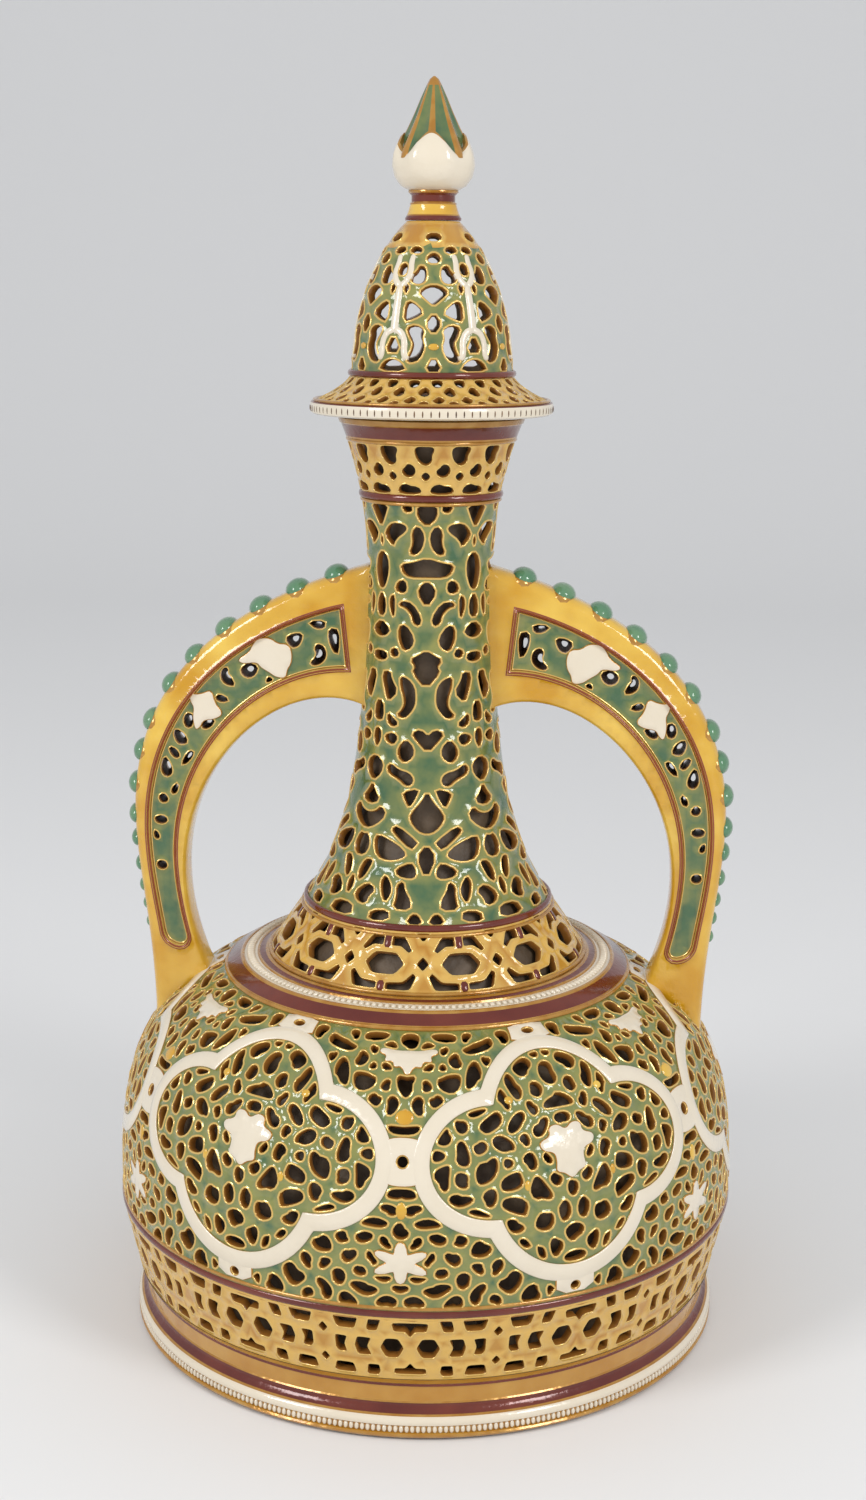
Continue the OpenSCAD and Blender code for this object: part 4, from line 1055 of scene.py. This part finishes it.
# Openings and white leaves of a panel: distances out from the axis and heights
panel_cells = [
    [(27.8, 211.9), (28.9, 212.2), (30.3, 215.9), (30.1, 218.9), (27.7, 218.4)],
    [(32.2, 219.4), (34.5, 219.4), (36.3, 220.9), (32, 221.1)],
    [(31.5, 209.2), (33.5, 207.5), (35.6, 207), (36.5, 207.8), (34.7, 209.5), (34.1, 211.6), (34.9, 213.4),
     (34, 215), (31.9, 214.2), (30.9, 211.6)],
    [(39.2, 215.4), (40.2, 213.7), (41.9, 213.3), (43.5, 215.7), (41.4, 217), (39, 217.1)],
    [(40, 204.4), (42.1, 204.6), (43.7, 206.6), (42, 208.5), (39.7, 205.7)],
    [(50.3, 201.1), (50.7, 202.4), (48.9, 205), (46.2, 202.8)],
    [(53.4, 204.7), (55.1, 203.6), (57, 204.3), (57.4, 206.1), (55.2, 207.7), (52.7, 206.8)],
    [(61.4, 199.6), (64.1, 201.4), (64.8, 204.9), (63.3, 207.5), (61.8, 207.4), (62.1, 204.9),
     (60.4, 203.1), (58.6, 199.6)],
    [(55.5, 211.2), (58.5, 209.5), (61.1, 210.2), (56.3, 212.9), (53.8, 213.8)],
    [(67.7, 201.1), (70.8, 198.3), (72.9, 198.6), (68.5, 204.1), (66.7, 204.9)],
    [(63.6, 195.8), (65.5, 196.7), (64.4, 197.7), (61.9, 196.4)],
    [(74.3, 194.2), (76.4, 193.9), (75.3, 195.8), (73.6, 196.6)],
    [(67.3, 188), (69.4, 187.2), (70, 188.5), (68.5, 190), (66.3, 189.9)],
    [(73.2, 188.1), (74.7, 187.5), (75.5, 189.5), (74.6, 191.6), (73.1, 191.2)],
    [(76.2, 182.3), (77.7, 182.7), (78.6, 185.2), (78, 186.5), (75.9, 185.1), (74.9, 182.9)],
    [(78.4, 177.8), (79.7, 179.2), (80.1, 180.8), (78.5, 180.2), (77.4, 178.4)],
    [(73.4, 178.3), (75.2, 176.2), (76.3, 175.9), (74.6, 179), (73.2, 179.7)],
    [(80.5, 177), (79.3, 174.1), (79.5, 171.7), (81.6, 170.8), (83.2, 172.5), (83.3, 175.6), (82, 179)],
    [(78.5, 166.8), (79.7, 166.4), (79.4, 168), (78, 169.2)],
    [(81.7, 163.7), (83.1, 163.6), (83.7, 165), (82.5, 165.9), (81.4, 164.7)],
    [(82.6, 156.7), (84.7, 157), (85.1, 158.3), (83, 158.8), (81.6, 157.8)],
    [(84.6, 151), (85.8, 151.9), (85.8, 154.6), (84.7, 154.1), (83.7, 151.9)],
    [(82.4, 141.8), (84.3, 141.8), (85.1, 143.1), (84.4, 144.4), (82.5, 144.3), (81.7, 143)]]
panel_leaves = [
    [(42.2, 208.1), (43.5, 206.2), (43.8, 203.6), (46.8, 203.9), (48.9, 205.4), (51.4, 206.8),
     (52.6, 208.5), (56.9, 207.8), (58.6, 208.9), (54.9, 211.2), (53.8, 213.8), (52, 215.7), (48.6, 215.8),
     (46.1, 214), (43.1, 214), (41.9, 211.4)],
    [(65.8, 194.9), (63.3, 192), (65.9, 190.3), (69.5, 190), (70.7, 187.6), (72, 186.8), (72.7, 190.7),
     (72.2, 193.8), (73.2, 195.5), (74.1, 198.6), (72.1, 197.7), (69.5, 198.1), (66.9, 199.3)]]


def fitted(loops, outline, strand):
    """Openings drawn in until a strand stands between them, and between them and the outline."""
    kept = []
    for loop in loops:
        for _ in range(16):
            gap = min([(-apart(loop, outline)).min()]
                      + [min(apart(loop, other).min(), apart(other, loop).min()) for other in kept])
            if gap >= strand:
                kept.append(loop)
                break
            loop = loop.mean(0) + (loop - loop.mean(0)) * 0.94
    return [loop for loop in kept if np.ptp(loop, axis=0).max() > 1.2]


panel_openings = fitted([shifted(rounded(cell, 1), 0.4) for cell in panel_cells], panel_loop, strand=1.05)


def one_sided(side, loop):
    return loop if side > 0 else mirrored(loop)


def slab_grid(outline, holes, spacing, keep):
    """Places inside an outline that keep off its edge and off the holes."""
    low, high = outline.min(0), outline.max(0)
    grid = np.array([(x, y) for x in np.arange(low[0], high[0], spacing)
                     for y in np.arange(low[1], high[1], spacing)])
    free = within(grid, shifted(outline, -keep))
    for hole in holes:
        free &= ~within(grid, shifted(hole, keep))
    return grid[free]


def softened(rim, out):
    """The edge of a handle moved in or out, less so towards the ends that run into the walls."""
    foot = np.array(outer_curves[1][3], float)
    across = np.array(inner_curves[1][3]) - foot
    x, y = np.abs(rim[:, 0]), rim[:, 1]
    to_foot = np.abs((x - foot[0]) * across[1] - (y - foot[1]) * across[0]) / np.linalg.norm(across)
    share = np.clip(np.minimum(x - ROOT, to_foot) / 4, 0, 1)
    crest = np.array([along(outer_curves, t) for t in np.linspace(0, 2, 200)])
    off_crest = np.hypot(x[:, None] - crest[None, :, 0], y[:, None] - crest[None, :, 1]).min(1)
    share = share * np.where(off_crest < 1, 1, 0.45)
    return rim + (shifted(rim, out) - rim) * share[:, None]


def through(front, thick):
    """Rings from the front of a slab to its back, the back like the front."""
    return front + [(ring, -thick - lift) for ring, lift in reversed(front)]


def handle(side, word):
    """The frame of a handle, and the pierced panel in it."""
    rim = one_sided(side, handle_edge)
    opening = one_sided(side, panel_loop)
    round_off = [(-3.2, 0.0), (-2.0, -0.35), (-1.0, -1.2), (-0.3, -2.6), (0.0, -4.4)]
    outer = through([(softened(rim, out), lift) for out, lift in round_off], 2 * FRAME_HALF)
    bead = [(1.45, 0.0), (1.3, 0.25), (1.05, 0.25), (0.85, -0.1), (0.6, 0.1), (0.25, -0.1), (0.0, -1.9)]
    inner = through([(shifted(opening, out), lift) for out, lift in bead], 2 * FRAME_HALF)
    frames = [(outer, [0] * 9), (inner, [2, 2, 1, 2, 2, 1, 0, 1, 2, 2, 1, 2, 2])]
    grid = slab_grid(softened(rim, -3.2), [shifted(opening, 1.45)], 2.6, 0.6)
    pierced(Slab(FRAME_HALF), frames, grid, 2 * FRAME_HALF, [amber, gold, maroon, amber])
    settle(word + "_handle_frame", "vessel", [word + "_handle"])

    edge = shifted(opening, -0.05)
    lip = [(shifted(edge, -0.45), 0.0), (shifted(edge, -0.2), 0.2), (edge, 0.0)]
    frames = [(through(lip, 2 * PANEL_HALF), [1, 1, 2, 1, 1])]
    holes = []
    for loop in panel_openings:
        loop = one_sided(side, loop)
        holes.append(shifted(loop, 0.45))
        # Each opening narrows to a waist at mid-depth. The sloped walls into and out of the waist take
        # paint 4, which is painted shade.
        waist = loop.mean(0) + (loop - loop.mean(0)) * 0.4 + (0.3 * side, -0.3)
        frames.append(([(shifted(loop, 0.4), 0.0), (shifted(loop, 0.25), 0.2), (shifted(loop, 0.05), 0.2),
                        (loop, -0.2), (loop, -1.4), (waist, -PANEL_HALF), (loop, -8.2), (loop, -9.4),
                        (shifted(loop, 0.05), -9.8), (shifted(loop, 0.4), -9.6)],
                       [1, 1, 1, 3, 4, 4, 3, 1, 1]))
    grid = slab_grid(shifted(edge, -0.45), holes, 1.8, 0.6)
    pierced(Slab(PANEL_HALF), frames, grid, 2 * PANEL_HALF, [green, gold, maroon, brown, painted_shade, green])
    settle(word + "_handle_scrolls", "vessel", [word + "_handle_panel"])


class BackSlab(Slab):
    """The back of an upright slab: the front turned half round the axis."""

    def place(self, out, up, lift):
        return super().place(out, up, lift) * (-1, -1, 1)


for side, word in ((1, "right"), (-1, "left")):
    handle(side, word)
    for face, way in ((Slab(PANEL_HALF), 1), (BackSlab(PANEL_HALF), -1)):
        leaves = [(0, 0, one_sided(side * way, rounded(cell, 2)), []) for cell in panel_leaves]
        plaques(face, leaves, 0.6, [cream, gold], spacing=1.8)
        settle(word + ("_front_leaves" if way > 0 else "_back_leaves"), "vessel")


def cabochon(place, normal, along_half, out_half, deep_half, paint):
    """A cabochon: a ball flattened to an oval and turned to stand on the crest."""
    bpy.ops.mesh.primitive_uv_sphere_add(segments=16, ring_count=10, radius=1, location=(0, 0, 0))
    ball = bpy.context.object
    ball.scale = (along_half * MM, deep_half * MM, out_half * MM)
    ball.rotation_euler = (0, math.atan2(normal[0], normal[1]), 0)
    ball.location = (place[0] * MM, 0, place[1] * MM)
    set_down()
    ball.data.materials.append(paint)
    return ball


# Cabochons: place along the crest, and length
jewels = [(0.095, 7.2), (0.2, 7.2), (0.307, 7.2), (0.419, 7.2), (0.536, 7), (0.643, 7), (0.761, 7),
          (0.85, 6.8), (0.937, 6.8), (1.031, 6.2), (1.163, 5.6), (1.309, 5), (1.43, 4.5), (1.529, 4),
          (1.622, 3.7)]


def jewel_row(side, word):
    """The cabochons along a handle's crest, and the settings under them."""
    for paint, grow, sink, deep, name in ((sage, 1.1, 0.5, 0.84, "_handle_cabochons"),
                                          (gold, 1.34, 1.9, 0.9, "_handle_settings")):
        balls = []
        for t, w in jewels:
            spot = along(outer_curves, t)
            way = along(outer_curves, t + 0.01) - along(outer_curves, t - 0.01)
            normal = np.array([-way[1], way[0]]) / np.linalg.norm(way)
            spot = spot - normal * sink
            balls.append(cabochon((side * spot[0], spot[1]), (side * normal[0], normal[1]),
                                  0.5 * w * grow, 0.46 * w, deep * w, paint))
        pick(balls)
        bpy.ops.object.join()
        settle(word + name, "vessel",
               [word + "_handle_jewels"] if paint is sage else ())


jewel_row(1, "right")
jewel_row(-1, "left")

# Turned pieces

# In the foot, the ochre band in the groove behind the beads, from 1.7 to 4.3 mm up, is painted shade that
# darkens the gaps between the cream beads
turned([(74.5, 6), (85, 0), (91.6, 0), (92.5, 0.5), (92.8, 1.2), (92.5, 1.7), (91.9, 1.9), (91.9, 4.1),
        (92.5, 4.3), (92.8, 5.2), (92.5, 6.2), (91.9, 6.8), (91.2, 7.2), (90.1, 8.2), (89.6, 9.2),
        (89.6, 9.7), (90, 10), (89.7, 10.4), (89.9, 13), (90.2, 15.3), (90.6, 15.6), (90.6, 16.3),
        (91, 16.7), (91.8, 17.9), (92.2, 18.5), (89.3, 18.5), (89.3, 10), (74.5, 10)],
       [ochre, maroon, gold, cream, clay],
       [4, 4, 2, 2, 2, 0, 0, 0, 3, 3, 3, 2, 1, 1, 1, 2, 2, 0, 0, 1, 1, 2, 0, 0, 4, 4, 4, 4], steps=192)
settle("turned_foot", "vessel", ["foot_ring"], angle=40)
bead_ring(92.0, 3.0, 360, long=1.35, high=2.3, deep=1.6, paint=cream)
settle("foot_beads", "vessel")

turned([(47, 113), (63.2, 113), (62.9, 113.7), (58.9, 115.9), (58.4, 116.5), (57.8, 116.6), (57.6, 116.3),
        (53.6, 116.8), (53.4, 117.3), (52.9, 117.3), (52.7, 117.1), (51, 117.4), (50.6, 117.75),
        (49.8, 117.8), (47, 117.8)],
       [maroon, gold, cream, clay], [3, 1, 0, 1, 1, 1, 2, 1, 1, 1, 0, 1, 1, 3, 3], steps=160)
settle("shoulder_steps", "vessel", ["shoulder_ring"], angle=40)
bead_ring(55.6, 116.7, 180, long=1.5, high=1.5, deep=2.8, paint=cream)
settle("shoulder_beads", "vessel")

turned([(17.2, 276.8), (25.2, 276.8), (25.6, 277.2), (25.7, 277.6), (27.1, 281.2), (27.6, 281.5),
        (27.7, 281.9), (27.9, 282.3), (28, 282.9), (27.4, 283.6), (26.6, 283.8), (17.2, 283.8)],
       [maroon, gold, clay], [2, 1, 1, 0, 1, 1, 1, 1, 1, 1, 1, 2], steps=128)
settle("turned_mouth", "vessel", ["mouth_rim"], angle=40)

turned([(14, 283.9), (35.3, 283.9), (36.1, 284.4), (36.3, 285.2), (36.3, 286.8), (36.1, 287.3),
        (35.9, 287.6), (35.2, 287.7), (14, 287.7)],
       [cream, maroon, clay], [2, 0, 0, 0, 0, 1, 1, 2, 2], steps=128)
settle("lid_rim", "lid", ["lid_flange"], angle=40)
bead_ring(36.2, 285.7, 96, long=0.5, high=2.0, deep=0.45, paint=brown)
settle("lid_rim_notches", "lid")

turned([(0.3, 339.7), (8.2, 339.7), (8.3, 340.4), (7.9, 341), (7.7, 341.4), (7.2, 342.8), (6.8, 344.2),
        (6.9, 344.6), (6.4, 345), (6.4, 346.8), (7, 347.4), (7.4, 347.8), (7.3, 348.2), (0.3, 348.2)],
       [maroon, gold, amber], [2, 0, 0, 1, 2, 2, 1, 1, 0, 0, 1, 1, 1, 1], steps=64)
settle("finial_mouldings", "lid", ["lid_collar"], angle=40)


def lotus_bud():
    """The bud: a turned cup drawn up into four petals."""
    piece = turned([(0.3, 348.2), (7.2, 348.2), (9.6, 349.5), (11.4, 352), (12.3, 354.8), (12.45, 356.6),
                    (12.3, 358.2), (11.8, 359.7), (11.1, 361), (10.3, 361.5), (9.4, 360.6), (0.3, 357)],
                   [cream, gold], [0, 0, 0, 0, 0, 0, 0, 0, 1, 1, 0, 0], steps=96)
    for v in piece.data.vertices:
        turn = math.atan2(v.co.x, -v.co.y)
        rise = max(0.0, v.co.z / MM - 352) / 9
        petal = math.cos(4 * turn)
        v.co.z += 2.8 * MM * rise ** 2 * petal
        crease = 1 - 0.05 * rise * max(0.0, -petal) ** 3 - 0.15 * rise ** 2 * max(0.0, petal)
        v.co.x *= crease
        v.co.y *= crease
    settle("lotus_bud", "lid", ["finial_bud"], angle=50)


lotus_bud()


def ribbed_spire():
    """The spire: a turned cone with eight gilded ribs."""
    piece = turned([(0.3, 357), (11.2, 357), (10.3, 359.6), (8.8, 362.6), (7, 366.2), (5.3, 370),
                    (3.7, 374), (2.2, 377.6), (1.3, 379.4), (0.3, 380.2)],
                   [green, gold], [0] * 8 + [1, 1], steps=96)
    for face in piece.data.polygons:
        turn = math.atan2(face.center.x, -face.center.y)
        if math.cos(8 * turn) > 0.45 or face.center.z / MM > 377.4:
            face.material_index = 1
    for v in piece.data.vertices:
        turn = math.atan2(v.co.x, -v.co.y)
        rib = 1 + 0.07 * math.cos(8 * turn) * min(1.0, (TOP_Z - v.co.z / MM) / 6)
        v.co.x *= rib
        v.co.y *= rib
    settle("ribbed_spire", "lid", ["finial_spire"], angle=50)


ribbed_spire()


def line_ring(name, body, radius, z, out, high, paint):
    """A narrow painted line, slightly raised round a wall."""
    bpy.ops.mesh.primitive_torus_add(major_radius=radius * MM, minor_radius=out * MM, major_segments=160,
                                     minor_segments=10)
    piece = bpy.context.object
    piece.scale = (1, 1, high / out / 2)
    piece.location = (0, 0, z * MM)
    set_down()
    piece.data.materials.append(paint)
    settle(name, body)


for line in (
        ("body_line", "vessel", 96.6, 41, 0.75, 2.4, maroon),
        ("body_line_gold", "vessel", 96.5, 42.8, 0.8, 1.4, gold),
        ("band_line_gold", "vessel", 96.0, 39.2, 0.7, 1.2, gold),
        ("shoulder_line_gold", "vessel", 63.2, 112.8, 0.7, 1.4, gold),
        ("collar_line", "vessel", 38.1, 134.9, 0.8, 2.4, maroon),
        ("collar_line_gold", "vessel", 39.1, 133, 0.7, 1.2, gold),
        ("collar_foot_gold", "vessel", 49.4, 118.4, 0.7, 1.2, gold),
        ("neck_line", "vessel", 21.0, 260.4, 0.8, 2.2, maroon),
        ("neck_line_gold", "vessel", 20.7, 258.7, 0.7, 1.2, gold),
        ("mouth_line_gold", "vessel", 25.0, 276.6, 0.7, 1.2, gold),
        ("lid_line", "lid", 24.3, 295.9, 0.8, 2, maroon),
        ("lid_foot_line", "lid", 34.9, 288, 0.6, 1, gold)):
    line_ring(*line)

# The inside, as it is in the solids
for name in ("inner_vessel", "base_disc", "neck_liner", "lid_spigot"):
    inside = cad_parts[name]
    inside.data.materials.clear()
    inside.data.materials.append(clay)


# Stage, light and camera

def stage_sheet():
    """A sheet of paper that lies on the floor and curves up behind."""
    bpy.ops.mesh.primitive_plane_add(size=6, location=(0, -0.6, -0.0005))
    sheet = bpy.context.object
    sheet.name = "studio_sheet"
    set_down()
    bpy.ops.object.mode_set(mode="EDIT")
    bpy.ops.mesh.select_all(action="DESELECT")
    bpy.ops.object.mode_set(mode="OBJECT")
    spots = sheet.data.vertices
    for edge in sheet.data.edges:
        edge.select = all(spots[v].co.y > 0 for v in edge.vertices)
    bpy.ops.object.mode_set(mode="EDIT")
    bpy.ops.mesh.select_mode(type="EDGE")
    bpy.ops.mesh.extrude_region_move(TRANSFORM_OT_translate={"value": (0, 0, 4)})
    bpy.ops.object.mode_set(mode="OBJECT")
    spots = sheet.data.vertices
    for edge in sheet.data.edges:
        edge.select = all(spots[v].co.y > 0 and spots[v].co.z < 1 for v in edge.vertices)
    bpy.ops.object.mode_set(mode="EDIT")
    bpy.ops.mesh.bevel(offset=0.9, segments=12, affect="EDGES")
    bpy.ops.object.mode_set(mode="OBJECT")
    bpy.ops.object.shade_smooth()
    paper = Finish("studio_paper")
    paper.set(Base_Color=tint(233, 233, 233), Roughness=0.7)
    sheet.data.materials.append(paper.material)


stage_sheet()

world = bpy.data.worlds.new("studio")
bpy.context.scene.world = world
world.use_nodes = True
air = world.node_tree.nodes["Background"]
air.inputs["Color"].default_value = (0.82, 0.83, 0.85, 1)
air.inputs["Strength"].default_value = 0.8


def soft_box(name, place, aim, wide, high, power):
    """A broad soft lamp that shines towards a point."""
    bpy.ops.object.light_add(type="AREA", location=place)
    lamp = bpy.context.object
    lamp.name = name
    lamp.data.shape = "RECTANGLE"
    lamp.data.size = wide
    lamp.data.size_y = high
    lamp.data.energy = power
    lamp.rotation_euler = (Vector(aim) - Vector(place)).to_track_quat("-Z", "Y").to_euler()


for box_name, side in (("left_box", -1), ("right_box", 1)):
    soft_box(box_name, (0.95 * side, -0.85, 0.85), (0, 0, 0.24), 0.4, 0.56, 8)

lens = bpy.data.cameras.new("photograph")
camera = bpy.data.objects.new("photograph", lens)
bpy.context.scene.collection.objects.link(camera)
lens.sensor_fit = "VERTICAL"
lens.sensor_height = 36
lens.lens = 49.46
lens.shift_x = 0.0027
azimuth = math.radians(4)
camera.location = (0.623 * math.sin(azimuth), -0.623 * math.cos(azimuth), 0.320)
pitch = math.radians(12.59)
gaze = Vector((-math.sin(azimuth) * math.cos(pitch), math.cos(azimuth) * math.cos(pitch), -math.sin(pitch)))
roll = Quaternion((0, 0, 1), math.radians(0.46))
camera.rotation_euler = (gaze.to_track_quat("-Z", "Y") @ roll).to_euler()
bpy.context.scene.camera = camera
bpy.context.scene.view_settings.view_transform = "Standard"
